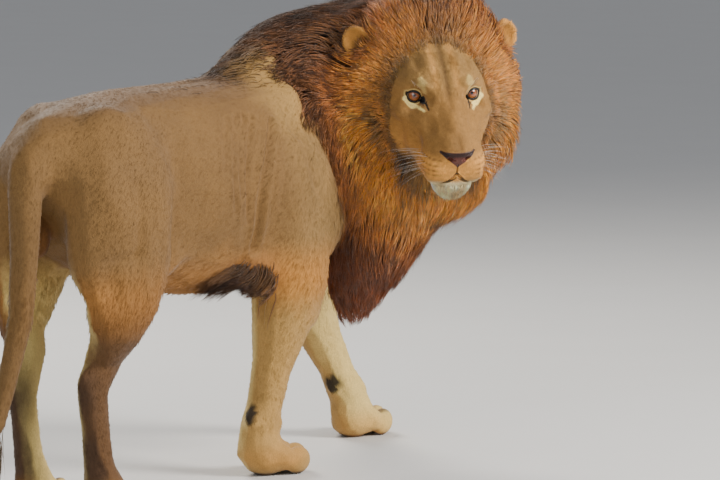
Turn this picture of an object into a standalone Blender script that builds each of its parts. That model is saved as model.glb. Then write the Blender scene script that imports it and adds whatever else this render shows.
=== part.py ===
"""A life-size male lion, standing with its head turned back over its right shoulder.

The lion faces -Y, its left side is +X, and +Z is up, all in metres. Soft masses (lofts and
ellipsoids) are modelled on a plain skeleton, fused by a voxel remesh, smoothed, thinned to few
faces and parted by thin cuts where a person would name its parts.
"""

import math

import bmesh
import bpy
import numpy as np
from mathutils import Matrix, Vector

# ---------------------------------------------------------------- driving dimensions
# Withers stand about 1.0 above the floor; head and body are about 1.6 long without the tail.
CLAY_VOXEL = 0.0065
CLAY_TRIANGLES = 3700
BLEND_ROUNDS = 80
POLISH_ROUNDS = 10
FLAT_ANGLE = 0.5
BALL_SEGMENTS = 12
SMALL_BALL_SEGMENTS = 14
GAP = 0.0004
EYE_RADIUS = 0.0205
EYE_SPACING = 0.140
RIGHT, LEFT = -1, 1

# Body masses are given as (forward, left, up): this turns them into the object's axes.
BODY = Matrix(((0, 1, 0), (-1, 0, 0), (0, 0, 1))).to_4x4()

# The hip joint, as (forward, up), and the top of the shoulder blade.
HIP = (-0.50, 0.81)
WITHERS = (0.21, 0.99)

# The head's own frame has its origin midway between the eyes, +X to the nose and +Y to its left.
EYES_AT = (0.444, -0.413, 0.931)
HEAD_TURN = -134.5
HEAD_DOWN = 13.5
HEAD_ROLL = 1.5


def turned(tilt):
    """The turn for a tilt in degrees about the frame's own X, Y and Z."""
    turn = Matrix.Rotation(math.radians(tilt[2]), 4, "Z")
    turn = turn @ Matrix.Rotation(math.radians(tilt[1]), 4, "Y")
    return turn @ Matrix.Rotation(math.radians(tilt[0]), 4, "X")


def head_matrix():
    """From the head's own frame to the body's."""
    forward, left, up = EYES_AT
    middle = Matrix.Translation((left, -forward, up))
    return middle @ BODY @ turned((HEAD_ROLL, HEAD_DOWN, HEAD_TURN))


HEAD = head_matrix()


# ---------------------------------------------------------------- clay: masses that fuse
def ellipsoid(bm, centre, radii, tilt=(0, 0, 0), frame=None, segments=20):
    """A squashed ball with its axes tilted, in the body's frame or the one given."""
    local = Matrix.Translation(centre) @ turned(tilt) @ Matrix.Diagonal((*radii, 1.0))
    bmesh.ops.create_uvsphere(
        bm,
        u_segments=segments,
        v_segments=segments // 2,
        radius=1.0,
        matrix=(frame or BODY) @ local,
    )


def spline(stations, steps=4):
    """Catmull-Rom through rows of numbers."""
    rows = np.array(stations, float)
    padded = np.vstack([2 * rows[0] - rows[1], rows, 2 * rows[-1] - rows[-2]])
    out = []
    for i in range(len(rows) - 1):
        a, b, c, d = padded[i : i + 4]
        for t in np.arange(steps) / steps:
            out.append(
                0.5
                * (
                    2 * b
                    + (c - a) * t
                    + (2 * a - 5 * b + 4 * c - d) * t * t
                    + (3 * b - a - 3 * c + d) * t**3
                )
            )
    out.append(rows[-1])
    return np.array(out)


def loft(bm, stations, frame=None, power=2.0, sides=20):
    """A closed tube with oval rings. A station is (x, y, z, half along, half across).

    'across' starts out sideways and is carried along the path without twist.
    """
    rows = spline(stations)
    path, half = rows[:, :3], np.maximum(rows[:, 3:5], 0.004)
    tangent = np.gradient(path, axis=0)
    tangent /= np.linalg.norm(tangent, axis=1)[:, None]
    frame = frame or BODY
    side = np.array((0.0, 1.0, 0.0))
    rings = []
    for centre, heading, (along, across) in zip(path, tangent, half):
        side = side - heading * side.dot(heading)
        side /= np.linalg.norm(side)
        other = np.cross(heading, side)
        ring = []
        for k in range(sides):
            angle = 2 * math.pi * k / sides
            c, s = math.cos(angle), math.sin(angle)
            c = math.copysign(abs(c) ** (2 / power), c)
            s = math.copysign(abs(s) ** (2 / power), s)
            ring.append(bm.verts.new(frame @ Vector(centre + side * across * c + other * along * s)))
        rings.append(ring)
    for low, high in zip(rings, rings[1:]):
        for k in range(sides):
            bm.faces.new((low[k], low[(k + 1) % sides], high[(k + 1) % sides], high[k]))
    bm.faces.new(rings[0][::-1])
    bm.faces.new(rings[-1])


def both(bm, centre, radii, tilt=(0, 0, 0), frame=None):
    """The same ball on the left and, mirrored, on the right."""
    mirrored = (centre[0], -centre[1], centre[2])
    ellipsoid(bm, centre, radii, tilt, frame)
    ellipsoid(bm, mirrored, radii, (-tilt[0], tilt[1], -tilt[2]), frame)


def trunk(bm):
    """Rib cage, belly and rump; each row is forward, top, bottom and half width."""
    outline = (
        (-0.715, 0.84, 0.70, 0.060),
        (-0.67, 0.915, 0.66, 0.115),
        (-0.57, 0.965, 0.60, 0.155),
        (-0.44, 0.985, 0.545, 0.168),
        (-0.28, 0.985, 0.500, 0.165),
        (-0.12, 0.982, 0.464, 0.185),
        (0.04, 0.985, 0.456, 0.195),
        (0.20, 0.995, 0.460, 0.170),
        (0.34, 0.990, 0.470, 0.145),
        (0.47, 0.950, 0.530, 0.120),
        (0.56, 0.880, 0.620, 0.080),
    )
    loft(
        bm,
        [(f, 0, (top + low) / 2, (top - low) / 2, half) for f, top, low, half in outline],
        power=2.15,
    )
    both(bm, (-0.51, 0.080, 0.865), (0.15, 0.080, 0.095), (0, -8, 0))
    both(bm, (-0.33, 0.120, 0.62), (0.13, 0.030, 0.090), (0, -30, 0))
    # the brisket, between the elbows
    ellipsoid(bm, (0.30, 0, 0.53), (0.20, 0.085, 0.085))


def shoulder(bm, side, joint, elbow):
    """Shoulder blade, upper arm and triceps. The joint and the elbow are (forward, up)."""
    (jf, jz), (ef, ez) = joint, elbow
    (wf, wz) = WITHERS
    blade = (0.5 * (wf + jf), 0.5 * (wz + jz))
    blade_lean = math.degrees(math.atan2(jf - wf, wz - jz))
    triceps = (0.45 * (blade[0] + ef) - 0.045, 0.5 * (blade[1] + ez))
    arm = (0.5 * (jf + ef), 0.5 * (jz + ez))
    arm_lean = math.degrees(math.atan2(ef - jf, jz - ez))
    masses = (
        (blade, 0.130, (0.070, 0.050, 0.150), (side * 14, -blade_lean, 0)),
        ((jf - 0.01, jz), 0.165, (0.080, 0.060, 0.110), (0, 10, 0)),
        (triceps, 0.164, (0.155, 0.056, 0.165), (0, -8, 0)),
        (arm, 0.165, (0.085, 0.060, 0.140), (0, -arm_lean, 0)),
    )
    for (forward, up), out, radii, tilt in masses:
        ellipsoid(bm, (forward, side * out, up), radii, tilt)


def foreleg(bm, side, elbow, wrist):
    """Forearm and pastern; elbow and wrist are forward, left and up."""
    (ef, el, ez), (wf, wl, wz) = elbow, wrist

    def between(t, along, across):
        return (
            ef + (wf - ef) * t,
            side * (el + (wl - el) * t),
            ez + (wz - ez) * t,
            along,
            across,
        )

    loft(
        bm,
        [
            between(-0.25, 0.070, 0.050),
            between(-0.05, 0.108, 0.072),
            between(0.14, 0.112, 0.086),
            between(0.36, 0.088, 0.074),
            between(0.62, 0.061, 0.054),
            between(0.84, 0.049, 0.046),
            between(1.00, 0.052, 0.050),
            between(1.14, 0.046, 0.048),
            between(1.24, 0.042, 0.046),
        ],
    )
    point_of_elbow = (ef - 0.105, side * el, ez + 0.030)
    ellipsoid(bm, point_of_elbow, (0.050, 0.038, 0.065), (0, 12, 0))
    forearm_muscle = (ef + 0.020, side * (el + 0.018), ez - 0.05)
    ellipsoid(bm, forearm_muscle, (0.060, 0.048, 0.130), (0, -6, 0))
    ellipsoid(bm, (wf + 0.018, side * wl, wz), (0.044, 0.050, 0.040))
    ellipsoid(bm, (wf - 0.052, side * (wl + 0.006), wz + 0.012), (0.018, 0.020, 0.024))


def paw(bm, side, heel, turn, size):
    """Four toes over a pad, from the heel (forward, left); turn is in degrees outwards."""
    frame = BODY @ Matrix.Translation((heel[0], side * heel[1], 0)) @ turned((0, 0, side * turn))

    def mass(centre, radii, tilt=(0, 0, 0)):
        place_at = [size * c for c in (centre[0], side * centre[1], centre[2])]
        tilt = (side * tilt[0], tilt[1], side * tilt[2])
        ellipsoid(bm, place_at, [size * r for r in radii], tilt, frame)

    mass((0.030, 0, 0.036), (0.058, 0.054, 0.040))
    mass((0.010, 0, 0.070), (0.048, 0.046, 0.050), (0, 30, 0))
    toes = ((0.072, -0.052, -16), (0.100, -0.020, -5), (0.100, 0.020, 5), (0.072, 0.052, 16))
    for forward, left, spread in toes:
        mass((forward - 0.022, left * 0.9, 0.040), (0.046, 0.021, 0.030), (0, 12, spread))
        mass((forward + 0.006, left, 0.026), (0.030, 0.0215, 0.027), (0, 0, spread))


def hindleg(bm, side, knee, hock, toe):
    """Thigh, shank and metatarsus; knee and hock are forward, left and up, toe is the first two."""
    (kf, kl, kz), (hf, hl, hz), (tf, tl) = knee, hock, toe
    hip_f, hip_z = HIP
    route = (
        (hip_f - 0.02, 0.090, hip_z + 0.10, 0.10, 0.060),
        (hip_f - 0.01, 0.115, hip_z, 0.165, 0.085),
        (hip_f - 0.035, 0.130, 0.72, 0.165, 0.088),
        ((kf + hip_f) / 2, 0.137, 0.625, 0.135, 0.078),
        (kf - 0.025, kl, kz - 0.02, 0.100, 0.066),
        (kf - 0.070, kl - 0.004, kz - 0.11, 0.072, 0.056),
        ((kf + 2 * hf) / 3, hl + 0.012, hz + 0.085, 0.052, 0.043),
        (hf + 0.010, hl, hz + 0.01, 0.047, 0.036),
        (hf + 0.014, hl, hz - 0.06, 0.040, 0.034),
        ((hf + tf) / 2 + 0.005, hl, hz * 0.50, 0.037, 0.037),
        (tf, tl, 0.085, 0.040, 0.043),
        (tf + 0.03, tl, 0.050, 0.030, 0.040),
    )
    loft(bm, [(f, side * out, up, along, across) for f, out, up, along, across in route])
    muscles = (
        ((-0.635, 0.120, 0.69), (0.070, 0.066, 0.180), 6),
        ((-0.47, 0.145, 0.70), (0.105, 0.055, 0.140), -14),
        ((kf + 0.025, kl, kz), (0.052, 0.050, 0.070), -20),
        ((kf - 0.115, kl - 0.012, kz - 0.09), (0.045, 0.040, 0.105), -16),
        ((hf - 0.028, hl, hz + 0.015), (0.020, 0.022, 0.050), -14),
    )
    for (forward, out, up), radii, lean in muscles:
        ellipsoid(bm, (forward, side * out, up), radii, (0, lean, 0))


def tail(bm):
    """The tail hangs from the rump and ends in a tuft just above the ground."""
    route = (
        (-0.56, 0, 0.905, 0.055, 0.060),
        (-0.66, -0.005, 0.885, 0.055, 0.054),
        (-0.730, -0.015, 0.830, 0.048, 0.050),
        (-0.765, -0.028, 0.750, 0.044, 0.045),
        (-0.785, -0.038, 0.640, 0.037, 0.038),
        (-0.808, -0.042, 0.490, 0.031, 0.032),
        (-0.850, -0.036, 0.355, 0.026, 0.027),
        (-0.888, -0.030, 0.262, 0.027, 0.028),
        (-0.914, -0.024, 0.195, 0.042, 0.042),
        (-0.936, -0.018, 0.135, 0.046, 0.046),
        (-0.958, -0.012, 0.085, 0.032, 0.032),
        (-0.976, -0.008, 0.050, 0.008, 0.008),
    )
    loft(bm, route)


def neck_and_mane(bm):
    """The neck turns back to the right under the mane, which is modelled to its tips."""
    ellipsoid(bm, (0.35, 0.00, 0.80), (0.17, 0.150, 0.225))
    ellipsoid(bm, (0.43, -0.02, 0.82), (0.18, 0.180, 0.270), (0, -10, 0))
    ellipsoid(bm, (0.50, -0.08, 0.83), (0.17, 0.190, 0.300), (0, -5, -25))
    ellipsoid(bm, (0.545, -0.17, 0.86), (0.16, 0.185, 0.295), (0, 0, -50))
    ellipsoid(bm, (0.540, -0.25, 0.88), (0.16, 0.180, 0.270), (0, 0, -50))
    # the ruff round the face, higher between the ears
    ellipsoid(bm, (-0.138, 0, -0.040), (0.105, 0.248, 0.210), (0, 4, 0), HEAD)
    ellipsoid(bm, (-0.165, 0, 0.085), (0.115, 0.190, 0.150), (0, 0, 0), HEAD)
    both(bm, (-0.100, 0.150, -0.120), (0.085, 0.080, 0.125), (10, 0, 0), HEAD)
    ellipsoid(bm, (-0.055, 0, -0.240), (0.110, 0.150, 0.115), (0, 25, 0), HEAD)
    # the crest over the withers
    loft(
        bm,
        [
            (0.03, 0, 0.980, 0.012, 0.014),
            (0.14, 0, 0.990, 0.045, 0.050),
            (0.26, 0, 1.005, 0.075, 0.090),
            (0.37, -0.02, 1.035, 0.085, 0.120),
            (0.46, -0.08, 1.060, 0.085, 0.120),
            (0.52, -0.17, 1.080, 0.085, 0.120),
            (0.54, -0.26, 1.080, 0.060, 0.100),
        ],
    )
    # the bib, from the throat down to between the forelegs
    loft(
        bm,
        [
            (0.485, -0.260, 0.760, 0.130, 0.150),
            (0.500, -0.220, 0.650, 0.125, 0.145),
            (0.515, -0.160, 0.530, 0.110, 0.115),
            (0.515, -0.120, 0.430, 0.080, 0.080),
            (0.515, -0.105, 0.365, 0.045, 0.048),
            (0.515, -0.100, 0.325, 0.015, 0.015),
        ],
    )
    ellipsoid(bm, (0.53, -0.09, 0.62), (0.10, 0.130, 0.170))


def elbow_tufts(bm):
    """Dark fringes behind the elbows."""
    ellipsoid(bm, (0.020, -0.150, 0.515), (0.090, 0.032, 0.045), (0, 22, 0))
    ellipsoid(bm, (0.410, 0.140, 0.500), (0.080, 0.030, 0.042), (0, 22, 0))


def skull(bm):
    """The head in its own frame; each row is forward, top, bottom and half width."""
    outline = (
        (-0.225, 0.030, -0.120, 0.080),
        (-0.165, 0.080, -0.155, 0.115),
        (-0.105, 0.106, -0.175, 0.130),
        (-0.050, 0.086, -0.185, 0.128),
        (-0.010, 0.054, -0.188, 0.118),
        (0.030, 0.016, -0.190, 0.103),
        (0.070, -0.014, -0.194, 0.087),
        (0.110, -0.037, -0.197, 0.074),
        (0.145, -0.056, -0.197, 0.063),
        (0.170, -0.074, -0.180, 0.048),
    )
    loft(
        bm,
        [(x, 0, (top + low) / 2, (top - low) / 2, half) for x, top, low, half in outline],
        HEAD,
        power=2.2,
    )
    # the bridge and pad of the nose, the whisker pads, chin, brows and cheek bones
    ellipsoid(bm, (0.105, 0, -0.055), (0.085, 0.042, 0.028), (0, 27, 0), HEAD)
    ellipsoid(bm, (0.163, 0, -0.100), (0.027, 0.046, 0.026), (0, 10, 0), HEAD)
    both(bm, (0.122, 0.042, -0.130), (0.056, 0.042, 0.038), (0, 6, -14), HEAD)
    ellipsoid(bm, (0.112, 0, -0.190), (0.046, 0.054, 0.030), (0, 0, 0), HEAD)
    both(bm, (-0.010, 0.064, 0.046), (0.046, 0.034, 0.018), (-12, 30, -14), HEAD)
    both(bm, (-0.020, 0.102, -0.045), (0.075, 0.030, 0.034), (0, 10, -26), HEAD)


# ---------------------------------------------------------------- from clay to parts
def remove_everything():
    for obj in list(bpy.data.objects):
        bpy.data.objects.remove(obj)


def collection(name):
    found = bpy.data.collections.new(name)
    bpy.context.scene.collection.children.link(found)
    return found


def object_of(name, mesh, group):
    obj = bpy.data.objects.new(name, mesh)
    group.objects.link(obj)
    return obj


def mesh_of(name, build):
    """A mesh made by build(bm)."""
    bm = bmesh.new()
    build(bm)
    bmesh.ops.recalc_face_normals(bm, faces=bm.faces)
    mesh = bpy.data.meshes.new(name)
    bm.to_mesh(mesh)
    bm.free()
    return mesh


def evaluated(obj):
    """A plain mesh of the object with its modifiers applied."""
    graph = bpy.context.evaluated_depsgraph_get()
    return bpy.data.meshes.new_from_object(obj.evaluated_get(graph))


def apply_modifiers(obj):
    mesh = evaluated(obj)
    obj.modifiers.clear()
    obj.data = mesh


def points_of(mesh):
    flat = np.empty(len(mesh.vertices) * 3)
    mesh.vertices.foreach_get("co", flat)
    return flat.reshape(-1, 3)


def voxel_remesh(obj, size):
    remesh = obj.modifiers.new("fuse", "REMESH")
    remesh.mode = "VOXEL"
    remesh.voxel_size = size
    apply_modifiers(obj)


def in_head_frame(points):
    back = np.array(HEAD.inverted())
    return points @ back[:3, :3].T + back[:3, 3]


def ramp(values, low, high):
    """0 below low, 1 above high."""
    return np.clip((values - low) / (high - low), 0, 1)


def face_share(points):
    """1 on the face and muzzle, falling to 0 behind the cheeks."""
    local = in_head_frame(points)
    share = ramp(local[:, 0], -0.09, -0.03)
    return share * ramp(-np.linalg.norm(local - (0.05, 0, -0.06), axis=1), -0.26, -0.22)


def softness(points):
    """How far a point may be smoothed: all on the trunk and mane, little on slender parts."""
    forward, up = -points[:, 1], points[:, 2]
    soft = 0.10 + 0.25 * ramp(up, 0.22, 0.42) + 0.65 * ramp(up, 0.45, 0.66)
    soft *= 1 - 0.9 * ramp(-forward, 0.73, 0.77)
    return soft * (1 - 0.80 * face_share(points))


def mean_of_neighbours(points, ends):
    total = np.empty_like(points)
    one, two = ends
    for axis in range(3):
        total[:, axis] = np.bincount(one, points[two, axis], len(points))
        total[:, axis] += np.bincount(two, points[one, axis], len(points))
    return total / np.bincount(ends.ravel(), minlength=len(points))[:, None]


def smooth(obj, rounds, push=0.0):
    """Blends the masses into each other. With push, each step is followed by one outwards,
    which leaves the size alone."""
    mesh = obj.data
    points = points_of(mesh)
    ends = np.empty(len(mesh.edges) * 2, np.int64)
    mesh.edges.foreach_get("vertices", ends)
    ends = ends.reshape(-1, 2).T
    if push:
        share = 1 - 0.6 * face_share(points)[:, None]
    else:
        share = softness(points)[:, None]
    for _ in range(rounds):
        points += 0.5 * share * (mean_of_neighbours(points, ends) - points)
        if push:
            points -= push * share * (mean_of_neighbours(points, ends) - points)
    mesh.vertices.foreach_set("co", points.ravel())
    mesh.update()


# Presses and pulls on the face, in the head's frame: centre, reach and shift.
FACE_TOUCHES = (
    ((0.034, 0.073, -0.006), 0.044, (-0.036, 0.000, 0.000)),  # eye socket
    ((0.048, 0.050, -0.012), 0.036, (-0.024, 0.000, -0.002)),  # its inner corner
    ((0.000, 0.062, 0.046), 0.034, (0.006, 0.000, 0.004)),  # brow
    ((-0.055, 0.120, 0.055), 0.050, (0.000, -0.010, -0.004)),  # temple
    ((0.078, 0.082, -0.085), 0.040, (0.000, -0.007, 0.000)),  # behind the whisker pad
)


def touch_face(obj):
    mesh = obj.data
    points = points_of(mesh)
    local = in_head_frame(points)
    turn = np.array(HEAD)[:3, :3]
    for (x, y, z), reach, (dx, dy, dz) in FACE_TOUCHES:
        for side in (1, -1):
            near = np.linalg.norm(local - (x, side * y, z), axis=1) / reach
            weight = np.clip(1 - near**2, 0, 1) ** 2
            points += weight[:, None] * (turn @ (dx, side * dy, dz))
    mesh.vertices.foreach_set("co", points.ravel())
    mesh.update()


def clay_masses(bm):
    trunk(bm)
    shoulder(bm, RIGHT, (0.38, 0.71), (0.175, 0.53))
    shoulder(bm, LEFT, (0.47, 0.73), (0.565, 0.51))
    foreleg(bm, RIGHT, (0.176, 0.152, 0.530), (0.130, 0.084, 0.130))
    foreleg(bm, LEFT, (0.565, 0.140, 0.510), (0.765, 0.070, 0.125))
    paw(bm, RIGHT, (0.112, 0.084), 8, 1.08)
    paw(bm, LEFT, (0.766, 0.068), 2, 1.08)
    hindleg(bm, RIGHT, (-0.500, 0.150, 0.545), (-0.612, 0.100, 0.290), (-0.568, 0.098))
    hindleg(bm, LEFT, (-0.490, 0.140, 0.545), (-0.635, 0.084, 0.290), (-0.592, 0.082))
    paw(bm, RIGHT, (-0.580, 0.098), 6, 0.97)
    paw(bm, LEFT, (-0.604, 0.082), 6, 0.97)
    tail(bm)
    neck_and_mane(bm)
    elbow_tufts(bm)
    skull(bm)


def thin_out(obj, triangles):
    """Fewer faces: the face and paws keep more than the flat of the body."""
    mesh = obj.data
    points = points_of(mesh)
    local = in_head_frame(points)
    near = ramp(-np.linalg.norm(local - (0.09, 0, -0.07), axis=1), -0.19, -0.12)
    coarse = 1 - 0.37 * near
    coarse = np.minimum(coarse, 0.80 + 0.20 * ramp(points[:, 2], 0.10, 0.16))
    group = obj.vertex_groups.new(name="coarse")
    for level in range(21):
        chosen = np.nonzero(np.round(coarse * 20) == level)[0]
        if len(chosen):
            group.add(chosen.tolist(), level / 20, "REPLACE")
    thin = obj.modifiers.new("thin", "DECIMATE")
    thin.ratio = triangles / (2 * len(mesh.polygons))
    thin.vertex_group = "coarse"
    thin.vertex_group_factor = 1.0
    apply_modifiers(obj)
    obj.vertex_groups.clear()


# ---------------------------------------------------------------- cutters
def box(centre, half, tilt=(0, 0, 0), frame=None):
    """A cutter: a solid block given by its centre, half sizes and tilt."""

    def build(grow):
        bm = bmesh.new()
        size = Matrix.Diagonal((*(2 * (h + grow) for h in half), 1.0))
        matrix = (frame or BODY) @ Matrix.Translation(centre) @ turned(tilt) @ size
        bmesh.ops.create_cube(bm, size=1.0, matrix=matrix)
        return finished(bm)

    return build


def ball(centre, radii, tilt=(0, 0, 0), frame=None):
    """A cutter: a squashed ball."""

    def build(grow):
        bm = bmesh.new()
        segments = SMALL_BALL_SEGMENTS if max(radii) < 0.10 else BALL_SEGMENTS
        ellipsoid(bm, centre, [r + grow for r in radii], tilt, frame, segments)
        return finished(bm)

    return build


def finished(bm):
    bmesh.ops.recalc_face_normals(bm, faces=bm.faces)
    mesh = bpy.data.meshes.new("shape")
    bm.to_mesh(mesh)
    bm.free()
    return mesh


def combine(mesh, cutter, operation):
    """A new mesh: mesh INTERSECT or DIFFERENCE cutter."""
    group = bpy.context.scene.collection
    main_object = bpy.data.objects.new("main", mesh)
    tool = bpy.data.objects.new("tool", cutter)
    group.objects.link(main_object)
    group.objects.link(tool)
    step = main_object.modifiers.new("step", "BOOLEAN")
    step.operation = operation
    step.solver = "EXACT"
    step.object = tool
    result = evaluated(main_object)
    bpy.data.objects.remove(main_object)
    bpy.data.objects.remove(tool)
    return result


def largest_shell(mesh):
    """The biggest connected piece; scraps smaller than it are dropped."""
    bm = bmesh.new()
    bm.from_mesh(mesh)
    bmesh.ops.remove_doubles(bm, verts=bm.verts, dist=1e-6)
    bmesh.ops.dissolve_limit(
        bm, angle_limit=math.radians(FLAT_ANGLE), verts=bm.verts, edges=bm.edges, delimit=set()
    )
    left = set(bm.verts)
    shells = []
    while left:
        stack = [left.pop()]
        shell = set(stack)
        while stack:
            for edge in stack.pop().link_edges:
                for vert in edge.verts:
                    if vert in left:
                        left.discard(vert)
                        shell.add(vert)
                        stack.append(vert)
        shells.append(shell)
    shells.sort(key=len)
    for shell in shells[:-1]:
        bmesh.ops.delete(bm, geom=list(shell), context="VERTS")
    bmesh.ops.triangulate(bm, faces=bm.faces)
    out = bpy.data.meshes.new("piece")
    bm.to_mesh(out)
    bm.free()
    return out


def part_body(mesh, cutters, rest_name):
    """Cuts named pieces off the body one after another; what is left is the trunk."""
    pieces = {}
    for name, cutter in cutters:
        pieces[name] = largest_shell(combine(mesh, cutter(0.0), "INTERSECT"))
        mesh = combine(mesh, cutter(GAP), "DIFFERENCE")
    pieces[rest_name] = largest_shell(mesh)
    return pieces


def limb_cutters():
    """What parts the legs and the tail from the trunk, from the ground upwards."""
    cuts = [
        ("tail_tuft", box((-0.94, -0.02, 0.115), (0.12, 0.10, 0.115))),
        ("tail", box((-0.90, -0.03, 0.40), (0.165, 0.09, 0.38))),
    ]
    forelegs = (("right", RIGHT, 0.150, 0.180, 10), ("left", LEFT, 0.790, 0.590, 8))
    for name, side, foot, elbow, inwards in forelegs:
        lean = math.degrees(math.atan2(elbow - foot, 0.43))
        tilt = (-side * inwards, lean, 0)
        shin = ((foot + elbow) / 2, side * 0.150, 0.25)
        cuts += [
            (name + "_forepaw", box((foot, side * 0.10, 0.04), (0.17, 0.125, 0.065))),
            (name + "_forearm", box(shin, (0.15, 0.125, 0.22), tilt)),
        ]
    for name, side, foot in (("right", RIGHT, -0.56), ("left", LEFT, -0.59)):
        sole = (foot - 0.03, side * 0.12, 0.08)
        cuts += [
            (name + "_hind_foot", box(sole, (0.22, 0.115, 0.20), (0, -14, 0))),
            (name + "_shank", box((-0.61, side * 0.14, 0.28), (0.25, 0.125, 0.22), (0, 25, 0))),
            (name + "_thigh", ball((-0.53, side * 0.24, 0.70), (0.190, 0.165, 0.270))),
        ]
    return cuts


def ear_shape(side, radii, centre=(0, 0, 0)):
    """A ball in the ear's own frame: +X is where it opens, forwards and outwards."""
    frame = HEAD @ Matrix.Translation((-0.142, side * 0.180, 0.092))
    frame = frame @ turned((side * -34, 0, side * 22))
    return ball(centre, radii, (0, -6, 0), frame)


def head_cutters():
    """What parts the face, the mane and, behind it, the shoulders."""
    return [
        ("nose", ball((0.172, 0, -0.100), (0.024, 0.044, 0.022), (0, 12, 0), HEAD)),
        ("lower_jaw", box((0.090, 0, -0.200), (0.088, 0.066, 0.045), (0, -2, 0), HEAD)),
        ("head", ball((0.020, 0, -0.045), (0.215, 0.150, 0.190), (0, 0, 0), HEAD)),
        ("mane_ruff", ball((-0.130, 0, -0.030), (0.140, 0.320, 0.310), (0, 0, 0), HEAD)),
        ("mane_chest", ball((0.510, -0.150, 0.440), (0.200, 0.225, 0.170))),
        ("mane_neck", ball((0.550, -0.150, 0.860), (0.270, 0.430, 0.460))),
        ("right_upper_foreleg", ball((0.205, -0.250, 0.68), (0.225, 0.150, 0.280))),
        ("left_upper_foreleg", ball((0.485, 0.250, 0.65), (0.230, 0.155, 0.260))),
    ]


# ---------------------------------------------------------------- colours
COATS = {
    "tawny": ((0.36, 0.23, 0.12), 0.85),
    "pale": ((0.52, 0.40, 0.26), 0.85),
    "mane_gold": ((0.50, 0.24, 0.07), 0.85),
    "mane_dark": ((0.09, 0.045, 0.03), 0.85),
    "nose": ((0.13, 0.06, 0.05), 0.45),
    "eye": ((0.42, 0.20, 0.05), 0.10),
    "scrotum": ((0.16, 0.10, 0.07), 0.80),
}
COAT_OF_PART = {
    "nose": "nose",
    "left_eye": "eye",
    "right_eye": "eye",
    "scrotum": "scrotum",
    "mane_ruff": "mane_gold",
    "mane_neck": "mane_dark",
    "mane_chest": "mane_dark",
    "tail_tuft": "mane_dark",
    "lower_jaw": "pale",
    "left_forearm": "pale",
    "right_forearm": "pale",
    "left_forepaw": "pale",
    "right_forepaw": "pale",
}


def coat(name):
    """The Principled material of a named coat, made once."""
    if name in bpy.data.materials:
        return bpy.data.materials[name]
    colour, roughness = COATS[name]
    material = bpy.data.materials.new(name)
    material.use_nodes = True
    shader = material.node_tree.nodes["Principled BSDF"]
    shader.inputs["Base Color"].default_value = (*colour, 1.0)
    shader.inputs["Roughness"].default_value = roughness
    return material


def bounds(meshes):
    points = np.vstack([points_of(mesh) for mesh in meshes])
    return points.min(axis=0), points.max(axis=0)


def place(pieces, group):
    """One object for each piece, with its origin at its middle. All move together, so that
    the lion stands with the middle of its box over the origin."""
    low, high = bounds(pieces.values())
    shift = Vector((-(low[0] + high[0]) / 2, -(low[1] + high[1]) / 2, 0))
    for name, mesh in pieces.items():
        low, high = bounds([mesh])
        middle = Vector((low + high) / 2)
        mesh.transform(Matrix.Translation(-middle))
        mesh.materials.clear()
        mesh.materials.append(coat(COAT_OF_PART.get(name, "tawny")))
        obj = object_of(name, mesh, group)
        obj.location = middle + shift


def main():
    remove_everything()
    lion = collection("lion")
    clay = object_of("clay", mesh_of("clay", clay_masses), lion)
    voxel_remesh(clay, CLAY_VOXEL)
    smooth(clay, BLEND_ROUNDS)
    smooth(clay, POLISH_ROUNDS, push=0.51)
    touch_face(clay)
    thin_out(clay, CLAY_TRIANGLES)
    above_floor = box((0, 0, 1.0), (2.0, 2.0, 1.0))
    body = combine(clay.data, above_floor(0.0), "INTERSECT")
    bpy.data.objects.remove(clay)

    pieces = {}
    sockets = {"scrotum": ball((-0.685, 0, 0.655), (0.036, 0.036, 0.050))}
    for side, name in ((LEFT, "left"), (RIGHT, "right")):
        hull = ear_shape(side, (0.027, 0.047, 0.050))
        bowl = ear_shape(side, (0.034, 0.036, 0.040), (0.030, 0, 0.008))
        pieces[name + "_ear"] = combine(hull(0.0), bowl(0.0), "DIFFERENCE")
        body = combine(body, hull(GAP), "DIFFERENCE")
        eye_centre = (0, side * EYE_SPACING / 2, 0)
        sockets[name + "_eye"] = ball(eye_centre, (EYE_RADIUS,) * 3, frame=HEAD)
    for name, shape in sockets.items():
        pieces[name] = shape(0.0)
        body = combine(body, shape(GAP), "DIFFERENCE")
    pieces.update(part_body(body, limb_cutters() + head_cutters(), "trunk"))
    place(pieces, lion)


main()
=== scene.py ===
"""The looks of a life-size standing lion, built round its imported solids.

One skin replaces all the solids but the eyes. It lies inside them by the coat's depth and carries
the folds, lids, lips and toes. The coat is joined mesh: short tufts on the body, and long locks
that follow the lie of the hair in the mane, the tail's tuft and the fringes. Each hair takes its
colour from the skin at its root. Lengths are in metres.
"""

import copy
import math
from collections import namedtuple

import bmesh
import bpy
import numpy as np
from mathutils import Matrix, Vector
from mathutils.bvhtree import BVHTree
from mathutils.kdtree import KDTree

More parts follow.
